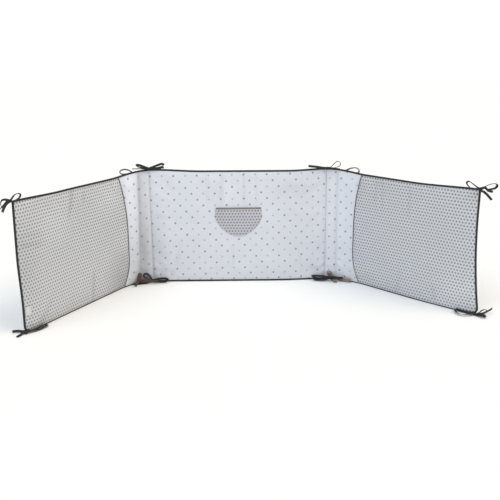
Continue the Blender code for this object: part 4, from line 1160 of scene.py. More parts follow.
def grey_print():
    looks = bpy.context.scene.bumper_prints
    return finish_of("grey star print", print_cotton, looks.grey_ground, looks.grey_pitch,
                     looks.grey_row, looks.grey_star, (looks.grey_ink, looks.grey_ink),
                     (0.0, 0.0, 0.0), grey_shade_and_light)


def white_print():
    looks = bpy.context.scene.bumper_prints
    return finish_of("white star print", print_cotton, looks.white_ground, looks.white_pitch,
                     looks.white_row, looks.white_star,
                     (looks.white_ink_dark, looks.white_ink_light), WHITE_PRINT_LIE, white_shade_and_light)


# The grey print again, darker all over: painted shade on the pocket.
def shaded_pocket_print():
    looks = bpy.context.scene.bumper_prints
    return finish_of("pocket star print", print_cotton, looks.shaded_pocket_ground, looks.grey_pitch,
                     looks.grey_row, looks.grey_star, (looks.shaded_pocket_ink, looks.shaded_pocket_ink),
                     POCKET_PRINT_LIE)


def dyed_tape(shade):
    """The cotton of the binding or of a tie, by its name among the trim settings."""
    colour = getattr(bpy.context.scene.bumper_trim, shade)
    return finish_of(shade.replace("_trim", "") + " tape", tape_cotton, colour)


# ---- trees of Geometry Nodes ----
def new_tree(name, inputs):
    """An empty geometry tree with inputs (name, kind of value, default), and their values."""
    tree = bpy.data.node_groups.new(name, "GeometryNodeTree")
    tree.interface.new_socket("Geometry", in_out="INPUT", socket_type="NodeSocketGeometry")
    for label, kind, default in inputs:
        socket = tree.interface.new_socket(label, in_out="INPUT", socket_type="NodeSocket" + kind)
        if default is not None:
            socket.default_value = default
    tree.interface.new_socket("Geometry", in_out="OUTPUT", socket_type="NodeSocketGeometry")
    given = tree.nodes.new("NodeGroupInput").outputs
    return tree, {socket.name: Value(tree, socket) for socket in given}


def even_lines(tree, lines, step):
    """The edges of a mesh as curves, with their points a step apart."""
    curves = add_node(tree, "GeometryNodeMeshToCurve", {}, {"Mesh": lines})
    even = add_node(tree, "GeometryNodeResampleCurve", {"mode": "LENGTH"},
                    {"Curve": curves.outputs["Curve"], "Length": step})
    return even.outputs["Curve"]


def hand_out(tree, geometry, material):
    """The last steps of a tree: one smooth mesh in its material."""
    real = add_node(tree, "GeometryNodeRealizeInstances", {}, {"Geometry": geometry})
    smooth = add_node(tree, "GeometryNodeSetShadeSmooth", {}, {"Geometry": real.outputs[0]})
    dyed = add_node(tree, "GeometryNodeSetMaterial", {},
                    {"Geometry": smooth.outputs[0], "Material": material})
    add_node(tree, "NodeGroupOutput", {}, {"Geometry": dyed.outputs[0]})
    return tree


def stitch_tree():
    """Stitches laid end to end along every line of the mesh."""
    name = "Stitches on lines"
    if name in bpy.data.node_groups:
        return bpy.data.node_groups[name]
    tree, given = new_tree(name, (
        ("Stitch Length", "Float", 0.0030), ("Stitch Gap", "Float", 0.0010),
        ("Thread Radius", "Float", 0.0003), ("Unevenness", "Float", 0.06),
        ("Seed", "Int", 4), ("Thread", "Material", None)))
    even = even_lines(tree, given["Geometry"], given["Stitch Length"] + given["Stitch Gap"])
    bead = add_node(tree, "GeometryNodeMeshUVSphere", {}, {"Segments": 6, "Rings": 5, "Radius": 1.0})
    size = add_node(tree, "ShaderNodeCombineXYZ", {},
                    {"X": given["Stitch Length"] * 0.5, "Y": given["Thread Radius"],
                     "Z": given["Thread Radius"]})
    tangent = add_node(tree, "GeometryNodeInputTangent", {}, {})
    chance = add_node(tree, "FunctionNodeRandomValue", {"data_type": "FLOAT"},
                      {2: given["Unevenness"] * -1.0, 3: given["Unevenness"], "Seed": given["Seed"]})
    slant = add_node(tree, "ShaderNodeCombineXYZ", {}, {"Z": chance.outputs[1]})
    leaning = add_node(tree, "ShaderNodeVectorMath", {"operation": "ADD"},
                       {0: tangent.outputs["Tangent"], 1: slant.outputs[0]})
    turned = add_node(tree, "FunctionNodeAlignRotationToVector", {"axis": "X"},
                      {"Vector": leaning.outputs[0]})
    laid = add_node(tree, "GeometryNodeInstanceOnPoints", {},
                    {"Points": even, "Instance": bead.outputs["Mesh"],
                     "Rotation": turned.outputs["Rotation"], "Scale": size.outputs[0]})
    return hand_out(tree, laid.outputs["Instances"], given["Thread"])


def piping_tree():
    """A round covered cord along every line of the mesh, drawn in a little at each stitch."""
    name = "Piping on lines"
    if name in bpy.data.node_groups:
        return bpy.data.node_groups[name]
    tree, given = new_tree(name, (
        ("Radius", "Float", PIPING_RADIUS), ("Draw In", "Float", 0.07),
        ("Stitch Pitch", "Float", 0.004), ("Step", "Float", 0.001), ("Cloth", "Material", None)))
    even = even_lines(tree, given["Geometry"], given["Step"])
    far = add_node(tree, "GeometryNodeSplineParameter", {}, {})
    beat = Value(tree, far.outputs["Length"]) / given["Stitch Pitch"] * (2 * math.pi)
    ring = add_node(tree, "GeometryNodeCurvePrimitiveCircle", {"mode": "RADIUS"},
                    {"Resolution": 10, "Radius": given["Radius"]})
    tube = add_node(tree, "GeometryNodeCurveToMesh", {},
                    {"Curve": even, "Profile Curve": ring.outputs["Curve"],
                     "Scale": 1.0 - beat.cos() * given["Draw In"], "Fill Caps": True})
    return hand_out(tree, tube.outputs["Mesh"], given["Cloth"])


def grow(name, lines, tree, values, slot):
    """A plain mesh that a geometry tree makes from lines of points."""
    points, edges = [], []
    for run in lines:
        edges += [(len(points) + k, len(points) + k + 1) for k in range(len(run) - 1)]
        points += [tuple(point) for point in run]
    seed = bpy.data.meshes.new(name + "_lines")
    seed.from_pydata(points, edges, [])
    carrier = put_in_scene(name + "_lines", seed)
    modifier = carrier.modifiers.new("grow", "NODES")
    modifier.node_group = tree
    sockets = {item.name: item.identifier for item in tree.interface.items_tree
               if item.item_type == "SOCKET" and item.in_out == "INPUT"}
    for label, value in values.items():
        modifier[sockets[label]] = value
    seen = carrier.evaluated_get(bpy.context.evaluated_depsgraph_get())
    mesh = bpy.data.meshes.new_from_object(seen)
    mesh.name = name
    carrier.modifiers.remove(modifier)
    bpy.data.objects.remove(carrier)
    return stand_piece(name, mesh, slot)


# ---- padded panels ----
def pad_columns(cells):
    """The columns of a pad: the cell each is in, its share across it, and whether it is tucked in."""
    columns = []
    for number, cell in enumerate(cells):
        width = line(cell[1], HEIGHT / 2) - line(cell[0], HEIGHT / 2)
        shares = spaced(0.0, width, CLOTH_STEP)
        if number:
            shares = shares[1:]
        if cell[0] == "left end":
            columns.append((cell, 0.0, True))
        columns += [(cell, share, False) for share in shares]
        if cell[1] == "right end":
            columns.append((cell, 1.0, True))
    return columns


def column_along(column, height):
    """Where a pad's column is along the bumper, at a height."""
    cell, share, tucked = column
    inset = PAD_INSET if tucked else FREE_INSET
    room = GAP / 2
    start = line(cell[0], height, inset) + (0 if cell[0] == "left end" else room * (share == 0))
    end = line(cell[1], height, inset) - (0 if cell[1] == "right end" else room * (share == 1))
    return start + (end - start) * share


def pad_point(column, share, facing):
    """A point of a pad's cloth; a share of "low" or "high" is tucked into the binding there."""
    cell, _, tucked = column
    height = {"low": 0.0, "high": HEIGHT}.get(share)
    if height is None:
        height = share * HEIGHT
    for _ in range(2):
        along = column_along(column, height)
        if share == "low":
            height = bottom(along, PAD_INSET)
        elif share == "high":
            height = top(along) - PAD_INSET
        else:
            low, high = free_rows(along, facing)
            height = low + (high - low) * share
    if tucked or share in ("low", "high"):
        return along, height, place(along, height, facing * RIM_HALF)
    return along, height, cloth(cell, along, height, facing)


def pad_faces(rows, columns):
    """Faces of a closed pad, front grid first, then the back one, then its rim."""
    size = rows * columns
    front_faces, back_faces, rim_faces = [], [], []
    for r in range(rows - 1):
        for c in range(columns - 1):
            corner = r * columns + c
            quad = (corner, corner + 1, corner + columns + 1, corner + columns)
            front_faces.append(quad)
            back_faces.append(tuple(size + index for index in reversed(quad)))
    loop = list(range(columns))
    loop += [r * columns + columns - 1 for r in range(1, rows)]
    loop += [(rows - 1) * columns + c for c in range(columns - 2, -1, -1)]
    loop += [r * columns for r in range(rows - 2, 0, -1)]
    for first, second in zip(loop, loop[1:] + loop[:1]):
        rim_faces.append((second, first, size + first, size + second))
    return front_faces, back_faces, rim_faces


def build_grid_piece(name, grids, flat_places, material, slot, far_share=FAR_SHARE):
    """A closed piece of cloth from a front and a back grid of points."""
    rows, columns = len(grids[0]), len(grids[0][0])
    points = [point for grid in grids for row in grid for point in row]
    front_faces, back_faces, rim_faces = pad_faces(rows, columns)
    faces = front_faces + back_faces + rim_faces
    spots = [spot for row in flat_places for spot in row] * 2
    cloth_uv = corner_map(faces, spots)
    bake, edge = [], GRID_BAKE_EDGE
    for low, high in ((edge, far_share - edge), (far_share + edge, GRID_BAKE_TOP)):
        bake += [(edge + (1 - 2 * edge) * c / (columns - 1), low + (high - low) * r / (rows - 1))
                 for r in range(rows) for c in range(columns)]
    bake_uv = corner_map(front_faces + back_faces, bake)
    for number in range(len(rim_faces)):
        left, right = number / len(rim_faces), (number + 1) / len(rim_faces)
        bake_uv += [(right, RIM_BAKE[0]), (left, RIM_BAKE[0]),
                    (left, RIM_BAKE[1]), (right, RIM_BAKE[1])]
    return new_object(name, points, faces, {CLOTH_MAP: cloth_uv, BAKE_MAP: bake_uv},
                      material, slot)


def build_pad(name):
    node, slot, cells = PADS[name]
    columns = pad_columns(cells)
    shares = ["low"] + spaced(0.0, HEIGHT, CLOTH_STEP) + ["high"]
    grids, flat_places = [], []
    for facing in (1, -1):
        grid = []
        for share in shares:
            row = [pad_point(column, share, facing) for column in columns]
            grid.append([point for _, _, point in row])
            if facing == 1:
                flat_places.append([(along, height) for along, height, _ in row])
        grids.append(grid)
    material = grey_print() if slot == "grey_print" else white_print()
    pad = build_grid_piece(name, grids, flat_places, material, slot)
    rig.replaces(pad, node)
    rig.padded(pad, fill=0.5)


# ---- binding ----
BINDING_OUTSIDE = (
    # share of half,               share of depth
    (0.86,                         1.00),
    (0.94,                         0.95),
    (1.00,                         0.75),
    (1.00,                         0.45),
    (0.94,                         0.28),
    (0.82,                         0.14),
    (0.68,                         0.05),
    (BINDING_SOLE / BINDING_HALF,  0.00),
)


def binding_outline(front_leg, wave):
    """The folded tape's cross-section as (across, inset) points; wave moves its two edges."""
    back = [(-BINDING_HALF * wide, (BINDING_DEPTH + wave) * deep) for wide, deep in BINDING_OUTSIDE]
    ahead = [(BINDING_HALF * wide, (front_leg - wave) * deep)
             for wide, deep in reversed(BINDING_OUTSIDE)]
    slot = [(BINDING_WALL_IN, front_leg - wave), (BINDING_WALL_IN, BINDING_FOLD),
            (-BINDING_WALL_IN, BINDING_FOLD), (-BINDING_WALL_IN, BINDING_DEPTH + wave)]
    return back + ahead + slot


def binding_wave(along, height):
    """How much deeper the tape's back fold is at a place, and shallower its front one."""
    spot = Vector((along * BINDING_WAVES, height * BINDING_WAVES, 9.0))
    return BINDING_WAVE * noise.noise(spot)


def strip_stations(start, end):
    """Evenly spaced places for a tape's cross-sections."""
    count = max(2, math.ceil((end - start) / BINDING_STEP))
    return [start + (end - start) * k / count for k in range(count + 1)]


def corner_route(end_at, sign):
    """The rounded lower corner at one end, from the floor up."""
    route = []
    for index in range(1, CORNER_STEPS + 1):
        angle = math.pi / 2 * index / CORNER_STEPS
        along = end_at + sign * END_CORNER_RADIUS * (1 - math.sin(angle))
        height = END_CORNER_RADIUS * (1 - math.cos(angle))
        route.append((along, height, sign * math.sin(angle), math.cos(angle)))
    return route


def binding_routes():
    """Every run of binding: CAD node -> stations (along, height, inward along, inward up)."""
    joint_left, joint_right = BINDING_JOINTS
    left_top, right_top = line("left end", HEIGHT), line("right end", HEIGHT)
    routes = {}
    for name, start, end in (("left", 0.0, joint_left), ("centre", joint_left, joint_right),
                             ("right", joint_right, LENGTH)):
        first = start + END_CORNER_RADIUS if name == "left" else start + GAP / 2
        last = end - END_CORNER_RADIUS if name == "right" else end - GAP / 2
        route = [(along, 0.0, 0, 1) for along in strip_stations(first, last)]
        if name == "left":
            route = list(reversed(corner_route(0.0, 1))) + route
        if name == "right":
            route += corner_route(LENGTH, -1)
        routes["binding_bottom_" + name] = route
        first = left_top if name == "left" else start + GAP / 2
        last = right_top if name == "right" else end - GAP / 2
        routes["binding_top_" + name] = [(along, top(along), 0, -1)
                                         for along in strip_stations(first, last)]
    for name, inward, along in (("left", 1, left_top), ("right", -1, right_top)):
        low = END_CORNER_RADIUS + GAP
        high = top(along) - BINDING_DEPTH - GAP
        routes["binding_end_" + name] = [(line(name + " end", height), height, inward, 0)
                                         for height in strip_stations(low, high)]
    return routes


def station_leg(along, upward):
    """Depth of the binding's front fold, which is less where the bottom edge is tucked under."""
    return bottom_leg(along, 1) if upward == 1 else BINDING_DEPTH


def build_binding(node, route):
    sections = []
    for along, height, inward, upward in route:
        outline = binding_outline(station_leg(along, upward), binding_wave(along, height))
        sections.append([place(along + inward * inset, height + upward * inset, across)
                         for across, inset in outline])
    piece = sweep(node.replace("binding", "tape"), sections,
                  girth(binding_outline(BINDING_DEPTH, 0.0)), dyed_tape("charcoal"), "binding")
    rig.replaces(piece, node)
    run = sum((b[0] - a[0]).length for a, b in zip(sections, sections[1:]))
    flat_width = 2 * BINDING_DEPTH + 2 * BINDING_HALF
    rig.sheet(piece, flat=(flat_width, run), held="folded", rests_on=["pad_centre"])


# ---- piping, pocket and label ----
def piping_path(name):
    """The middle of a seam's cord, clear of the binding at both ends."""
    seam = name + " seam"
    rise = HEIGHT - PIPING_TOP_ROOM - 2 * FREE_INSET
    path = []
    for share in spaced(0.0, rise, PIPING_STEP):
        height = FREE_INSET + rise * share
        path.append(place(line(seam, height), height, PIPING_LIFT + PIPING_RADIUS))
    return path


def build_piping(name):
    looks = bpy.context.scene.bumper_trim
    cover = finish_of("dark piping", twisted_thread, looks.piping, PIPING_TWIST)
    piece = grow("cord_seam_" + name, [piping_path(name)], piping_tree(),
                 {"Radius": PIPING_RADIUS, "Cloth": cover}, "piping")
    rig.replaces(piece, "piping_" + name)
    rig.padded(piece, fill=1.0)


def pocket_half(depth):
    """Half the pocket's width at a depth below its top edge."""
    if depth <= POCKET_SIDE:
        return POCKET_TOP_HALF + (POCKET_HALF - POCKET_TOP_HALF) * ease(depth / POCKET_SIDE)
    part = min((depth - POCKET_SIDE) / POCKET_ARC, 1.0)
    return POCKET_HALF * math.sqrt(1 - part ** POCKET_ROUND)


def pocket_surface(along, height, lift):
    """A point over the centre pad's front, for what is sewn on it."""
    return cloth(PADS["pad_centre"][2][0], along, height, 1, lift)


def pocket_rise(share_out, depth, along):
    """How far the pocket's cloth stands off the panel: slack inside, drawn down at its stitches."""
    inside = min(1 - abs(share_out), max(POCKET_SIDE + POCKET_ARC - depth, 0.0) / POCKET_LOOSE)
    slack = ease(inside / POCKET_LOOSE_RAMP)
    mouth = ease(1 - depth / POCKET_LOOSE) * slack
    waves = noise.noise(Vector((along * 30.0, depth * 26.0, 12.0)))
    gathers = noise.noise(Vector((along * 110.0, depth * 70.0, 15.0))) * (1 - slack) * slack * 4
    rise = (slack * (POCKET_SLACK + POCKET_WAVE * waves) + POCKET_MOUTH * mouth
            + POCKET_GATHER * gathers)
    return max(rise, 0.0)


def sewn_sheet(name, pad, rows, thick, material, slot, far_share):
    """A thin sheet over a pad, from rows of places (along, height, how far off the pad)."""
    cell = PADS[pad][2][0]
    grids = [[[cloth(cell, along, height, 1, lift + out) for along, height, lift in row]
              for row in rows] for out in (thick, 0.0)]
    flat_places = [[(along, height) for along, height, _ in row] for row in rows]
    return build_grid_piece(name, grids, flat_places, material, slot, far_share)


def build_pocket():
    hem = POCKET_BINDING - POCKET_BINDING_OVER
    deepest = POCKET_SIDE + POCKET_ARC
    rows = []
    for row in range(POCKET_ROWS, -1, -1):
        turn = math.pi / 2 * row / POCKET_ROWS
        depth = hem + GAP + (deepest - hem) * math.sin(turn) * POCKET_TIP
        half = max(pocket_half(depth), POCKET_TIP_HALF)
        places = []
        for column in range(POCKET_COLUMNS + 1):
            share = 2 * column / POCKET_COLUMNS - 1
            along = POCKET_ALONG + half * share
            places.append((along, POCKET_TOP - depth, 2 * GAP + pocket_rise(share, depth, along)))
        rows.append(places)
    pocket = sewn_sheet("patch_pocket", "pad_centre", rows, POCKET_THICK, shaded_pocket_print(),
                        "grey_print", POCKET_FAR_SHARE)
    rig.replaces(pocket, "pocket")
    area = 2 * deepest / POCKET_ROWS * sum(pocket_half(deepest * (row + 0.5) / POCKET_ROWS)
                                           for row in range(POCKET_ROWS))
    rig.sheet(pocket, flat=(2 * POCKET_HALF, deepest), held="laid", rests_on=["pad_centre"],
             area=area)
    sections = []
    for along in strip_stations(POCKET_ALONG - POCKET_TOP_HALF, POCKET_ALONG + POCKET_TOP_HALF):
        share = (along - POCKET_ALONG) / POCKET_TOP_HALF
        lift = 2 * GAP + pocket_rise(share, 0.0, along) * 0.8
        sections.append([
            pocket_surface(along, POCKET_TOP + POCKET_BINDING_OVER - POCKET_BINDING * down,
                           lift + out * POCKET_BINDING_THICK)
            for out, down in POCKET_TAPE_SECTION])
    outline = [(out * POCKET_BINDING_THICK, down * POCKET_BINDING)
               for out, down in POCKET_TAPE_SECTION]
    tape = sweep("pocket_tape", sections, girth(outline), dyed_tape("pocket_trim"), "binding")
    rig.replaces(tape, "pocket_binding")
    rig.sheet(tape, flat=(girth(outline)[-1], 2 * POCKET_TOP_HALF), held="folded",
             rests_on=["patch_pocket"], area=girth(outline)[-1] * POCKET_TOP_HALF)


def build_label():
    rows = []
    for row in range(LABEL_STEPS + 1):
        height = LABEL_BOTTOM + LABEL_SIZE[1] * row / LABEL_STEPS
        rows.append([(LABEL_ALONG + LABEL_SIZE[0] * column / LABEL_STEPS, height,
                      3 * GAP + LABEL_CURL * ease(column / LABEL_STEPS * 3 - 2))
                     for column in range(LABEL_STEPS + 1)])
    ribbon = finish_of("label ribbon", satin_ribbon, bpy.context.scene.bumper_trim.label)
    label = sewn_sheet("blank_label", "pad_left", rows, LABEL_THICK, ribbon, "label",
                       LABEL_FAR_SHARE)
    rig.replaces(label, "label")
    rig.sheet(label, flat=LABEL_SIZE, held="laid", rests_on=["pad_left"])


# ---- ties ----
def nearest_along(point):
    """The place along the bumper that is nearest to a point, seen from above."""
    flat = Vector((point.x, point.y))
    tried = range(0, PLAN_STEPS + 1, NEAREST_STEP)
    index = min(tried, key=lambda k: (PLAN[k] - flat).length_squared)
    return index * LENGTH / PLAN_STEPS


def settle(point, wide, thick, lift):
    """Moves a point of a tape's route clear of the floor, the rim and the padded faces."""
    def reach(direction):
        return abs(wide.dot(direction)) + abs(thick.dot(direction))

    level = Vector((0, 0, 1))
    point = Vector((point.x, point.y, max(point.z, TIE_CLEARANCE + lift + reach(level))))
    along = nearest_along(point)
    out = front(along)
    offset = point - middle(along, min(point.z, HEIGHT))
    offset.z = 0
    across = offset.dot(out)
    if (offset - across * out).length > END_ZONE + wide.length:
        return point
    rim_top = top(along)
    from_rim = min(point.z, rim_top - point.z) + reach(level) - BINDING_DEPTH
    body = max(BINDING_HALF, RIM_HALF + PANEL_CROWN * swell(from_rim, CROWN_REACH))
    needed = body + reach(out) + TIE_CLEARANCE + lift
    if point.z - reach(level) > rim_top + TIE_CLEARANCE or abs(across) > needed:
        return point
    if point.z > rim_top - RIM_ZONE and abs(across) < BINDING_HALF:
        point.z = rim_top + TIE_CLEARANCE + lift + reach(level)
        return point
    return point + (math.copysign(needed, across) - across) * out


TAPE_OUTLINE = (
    # share of half width, share of half thickness
    (1.00, 0.10), (0.97, 0.85), (0.60, 1.00), (0.00, 0.88), (-0.60, 1.00), (-0.97, 0.85),
    (-1.00, -0.10), (-0.97, -0.85), (-0.60, -1.00), (0.00, -0.88), (0.60, -1.00), (0.97, -0.85),
)


def tape_sections(route, width, thick, roll_start, roll_end, near, lift):
    """Cross-sections of a flat tape, turning with its route."""
    runs = []
    for index in range(len(route)):
        ahead = route[min(index + 1, len(route) - 1)]
        behind = route[max(index - 1, 0)]
        runs.append((ahead - behind).normalized())
    flat = runs[0].cross(near)
    if flat.length < FACING_LEAST:
        flat = runs[0].cross(Vector((0, 0, 1)))
    flat.normalize()
    turned, settled = [], []
    for index, (point, run) in enumerate(zip(route, runs)):
        if index:
            flat = runs[index - 1].rotation_difference(run) @ flat
        roll = roll_start + (roll_end - roll_start) * index / (len(route) - 1)
        across = Matrix.Rotation(math.radians(roll), 3, run) @ flat
        normal = run.cross(across).normalized()
        turned.append((across, normal))
        settled.append(settle(point, across * width / 2, normal * TIE_THICK / 2, lift))
    for _ in range(TAPE_SMOOTHING):
        settled = ([settled[0]] + [(a + 2 * b + c) / 4 for a, b, c in
                                   zip(settled, settled[1:], settled[2:])] + [settled[-1]])
    return [[point + across * (wide * width / 2) + normal * (high * thick / 2)
             for wide, high in TAPE_OUTLINE]
            for point, (across, normal) in zip(settled, turned)]


def knot_sections(centre, right, near):
    """The wrapped middle of a bow as rings across its own width."""
    sections = []
    for ring in range(KNOT_RINGS + 1):
        part = min(max(ring / KNOT_RINGS, KNOT_TIPS[0]), KNOT_TIPS[1])
        angle = math.pi * part
        ridge = KNOT_RIDGE * math.sin(KNOT_TURNS * 2 * math.pi * part + KNOT_PHASE)
        section = []
        for segment in range(KNOT_SEGMENTS):
            turn = 2 * math.pi * segment / KNOT_SEGMENTS
            size = math.sin(angle) ** KNOT_BLUNT
            section.append(centre - right * (KNOT_SIZE[0] * math.cos(angle))
                           + near * ((KNOT_SIZE[1] + ridge) * size * math.cos(turn))
                           + Vector((0, 0, 1)) * ((KNOT_SIZE[2] + ridge) * size * math.sin(turn)))
        sections.append(section)
    return sections


def join_pieces(name, parts):
    """One piece from several, which keep their UV maps."""
    first, *others = parts
    meshes = [part.data for part in others]
    with bpy.context.temp_override(active_object=first, selected_editable_objects=parts,
                                   selected_objects=parts):
        bpy.ops.object.join()
    for mesh in meshes:
        if mesh.users == 0:
            bpy.data.meshes.remove(mesh)
    first.name = name
    return first


def build_tie(node, knot_place, degrees, strands):
    """One bow: its knot and its strands, joined into one piece."""
    shade, slot, width, thick = "charcoal", "tie_charcoal", TIE_WIDTH, TAPE_VISIBLE
    if "brown" in node:
        # the right brown ties take a paler copy of the brown, as painted light
        shade = "taupe" if "right" in node else "brown"
        slot, width, thick = "tie_brown", BROWN_WIDTH, BROWN_VISIBLE
    material = dyed_tape(shade)
    turn = math.radians(degrees)
    right = Vector((math.cos(turn), math.sin(turn), 0))
    near = Vector((math.sin(turn), -math.cos(turn), 0))
    centre = place(*knot_place)
    outline = [(a * width / 2, b * thick / 2) for a, b in TAPE_OUTLINE]
    knot = knot_sections(centre, right, near)
    knot_outline = [(KNOT_FACET * k, 0) for k in range(KNOT_SEGMENTS)]
    parts = [sweep(node + "_knot", knot, girth(knot_outline), material, slot)]
    run = 0.0
    for order, (strand, row) in enumerate(strands.items()):
        *stops, roll_start, roll_end = row
        points = [centre + MM * (a * right + b * Vector((0, 0, 1)) + c * near) for a, b, c in stops]
        route = smooth_route(points, TAPE_STEP)
        sections = tape_sections(route, width, thick, roll_start, roll_end, near,
                                 order * STRAND_LIFT)
        run += sum((b - a).length for a, b in zip(route, route[1:]))
        parts.append(sweep(node + "_" + strand.replace(" ", "_"), sections, girth(outline),
                           material, slot))
    bow = join_pieces(node.replace("tie_", "bow_"), parts)
    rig.replaces(bow, node)
    flat_width = max(width, LEAST_FLAT_WIDTH)
    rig.sheet(bow, flat=(flat_width, run), held="folded", area=width * run)


# ---- stitches ----
def fold_lines():
    """The four stitched folds, on both faces."""
    pairs = {"left outer": PADS["pad_corner_left"][2][1], "left inner": PADS["pad_centre"][2][0],
             "right inner": PADS["pad_centre"][2][0], "right outer": PADS["pad_corner_right"][2][1]}
    lines = []
    for name, cell in pairs.items():
        for facing in (1, -1):
            run = []
            for share in spaced(0.0, HEIGHT, FOLD_STITCH_STEP):
                along = line(name, HEIGHT * share)
                low, high = free_rows(along, facing)
                height = low + (high - low) * share
                along = line(name, height)
                out = half_thickness(cell, along, height, facing) + THREAD_PROUD
                run.append(place(along, height, facing * out))
            lines.append(run)
    return lines


def binding_lines():
    """Stitches near both edges of every run of binding."""
    lines = []
    for route in binding_routes().values():
        for facing in (1, -1):
            run = []
            for along, height, inward, upward in route:
                leg = station_leg(along, upward) if facing == 1 else BINDING_DEPTH
                inset = leg * STITCH_INSET
                run.append(place(along + inward * inset, height + upward * inset,
                                 facing * (BINDING_HALF + THREAD_PROUD_BINDING)))
            lines.append(run)
    return lines


def pocket_lines():
    """Two rows of stitches round the pocket's sides and arc."""
    deepest = (POCKET_SIDE + POCKET_ARC) * POCKET_TIP
    edge = []
    for step in range(-POCKET_STITCH_STEPS, POCKET_STITCH_STEPS + 1):
        turn = math.pi / 2 * step / POCKET_STITCH_STEPS
        depth = deepest * math.cos(turn)
        edge.append(Vector((math.copysign(pocket_half(depth), turn), depth)))
    lines = []
    for inset in POCKET_STITCH_INSETS:
        run = []
        for before, spot, after in zip(edge, edge[1:], edge[2:]):
            ahead = (after - before).normalized()
            out, depth = spot + inset * Vector((ahead.y, -ahead.x))
            if depth < POCKET_BINDING:
                continue
            along = POCKET_ALONG + out
            share = out / max(pocket_half(depth), POCKET_TIP_HALF)
            lift = 2 * GAP + pocket_rise(share, depth, along) + POCKET_THICK
            run.append(pocket_surface(along, POCKET_TOP - depth, lift + THREAD_PROUD))
        lines.append(run)
    return lines


def label_lines():
    """Stitches along the label's left, top and bottom edges."""
    cell = PADS["pad_left"][2][0]
    low, high = LABEL_BOTTOM + LABEL_SEWN, LABEL_BOTTOM + LABEL_SIZE[1] - LABEL_SEWN
    near, far = LABEL_ALONG + LABEL_SEWN, LABEL_ALONG + LABEL_SIZE[0] - LABEL_SEWN
    lift = 3 * GAP + LABEL_THICK + THREAD_PROUD
    lines = []
    for start, end in (((near, low), (near, high)), ((near, high), (far, high)),
                       ((near, low), (far, low))):
        run = []
        for k in range(LABEL_STEPS + 1):
            along = start[0] + (end[0] - start[0]) * k / LABEL_STEPS
            height = start[1] + (end[1] - start[1]) * k / LABEL_STEPS
            run.append(cloth(cell, along, height, 1, lift))
        lines.append(run)
    return lines


def build_stitches():
    looks = bpy.context.scene.bumper_stitches
    pale = finish_of("pale thread", twisted_thread, looks.pale_thread, THREAD_TWIST)
    dark = finish_of("dark thread", twisted_thread, looks.dark_thread, THREAD_TWIST)
    rows = (("stitches_folds", fold_lines(), pale, "white_print"),
            ("stitches_binding", binding_lines(), dark, "binding"),
            ("stitches_pocket", pocket_lines(), pale, "grey_print"),
            ("stitches_label", label_lines(), pale, "label"))
    for name, lines, thread, slot in rows:
        grow(name, lines, stitch_tree(),
             {"Stitch Length": looks.length, "Stitch Gap": looks.gap,
              "Thread Radius": looks.radius, "Thread": thread}, slot)


# ---- what a user would change ----
def colour_setting(name, description, default):
    return bpy.props.FloatVectorProperty(name=name, description=description, subtype="COLOR",
                                         size=3, min=0.0, max=1.0, default=default)


def length_setting(name, description, default):
    return bpy.props.FloatProperty(name=name, description=description, default=default,
                                   min=0.0001, unit="LENGTH", subtype="DISTANCE", precision=4)


class PrintSettings(bpy.types.PropertyGroup):
    """The two star-printed cottons."""

    grey_ground: colour_setting("Grey Ground", "Ground colour of the grey cotton",
                                (0.655, 0.666, 0.692))
    grey_ink: colour_setting("Grey Stars", "Ink of the stars on the grey cotton",
                             (0.165, 0.170, 0.182))
    grey_pitch: length_setting("Grey Pitch", "Distance between stars along a row", 0.0106)
    grey_row: length_setting("Grey Rows", "Distance between rows of stars", 0.0104)
    grey_star: length_setting("Grey Star", "Centre to tip of a star on the grey cotton", 0.0045)
    # the pocket's ground and stars are the grey cotton's, painted darker as painted shade
    shaded_pocket_ground: colour_setting("Shaded Pocket Ground", "Ground colour of the pocket's grey cotton",
                                  (0.530, 0.527, 0.565))
    shaded_pocket_ink: colour_setting("Shaded Pocket Stars", "Ink of the stars on the pocket",
                               (0.150, 0.150, 0.168))
    white_ground: colour_setting("White Ground", "Ground colour of the white cotton",
                                 (0.764, 0.789, 0.856))
    white_ink_dark: colour_setting("Dark Stars", "Ink of every second diagonal of stars",
                                   (0.195, 0.202, 0.236))
    white_ink_light: colour_setting("Pale Stars", "Ink of the diagonals between them",
                                    (0.430, 0.442, 0.485))
    white_pitch: length_setting("White Pitch", "Distance between stars along a row", 0.0403)
    white_row: length_setting("White Rows", "Distance between rows of stars", 0.02086)
    white_star: length_setting("White Star", "Centre to tip of a star on the white cotton", 0.0050)


class TrimSettings(bpy.types.PropertyGroup):
    """Binding, ties, piping and label."""

    charcoal: colour_setting("Charcoal", "Cotton of the binding and the dark ties",
                             (0.030, 0.030, 0.033))
    brown: colour_setting("Brown", "Cotton of the left brown ties", (0.088, 0.058, 0.049))
    # a paler copy of the brown for the right ties, as painted light
    taupe: colour_setting("Taupe", "Cotton of the right brown ties", (0.245, 0.185, 0.148))
    pocket_trim: colour_setting("Pocket Trim", "Binding on the pocket's edge",
                                (0.190, 0.182, 0.177))
    piping: colour_setting("Piping", "Cover of the piping in the arc seams",
                           (0.050, 0.043, 0.041))
    label: colour_setting("Label", "The blank side label", (0.60, 0.61, 0.62))


class StitchSettings(bpy.types.PropertyGroup):
    """The sewing that shows."""

    length: length_setting("Stitch", "Length of a stitch", 0.0030)
    gap: length_setting("Gap", "Cloth between two stitches", 0.0010)
    radius: length_setting("Thread", "Half the thread's thickness", THREAD_RADIUS)
    pale_thread: colour_setting("Pale Thread", "Thread of folds, pocket and label",
                                (0.60, 0.61, 0.64))
    dark_thread: colour_setting("Dark Thread", "Thread of the binding", (0.05, 0.05, 0.055))


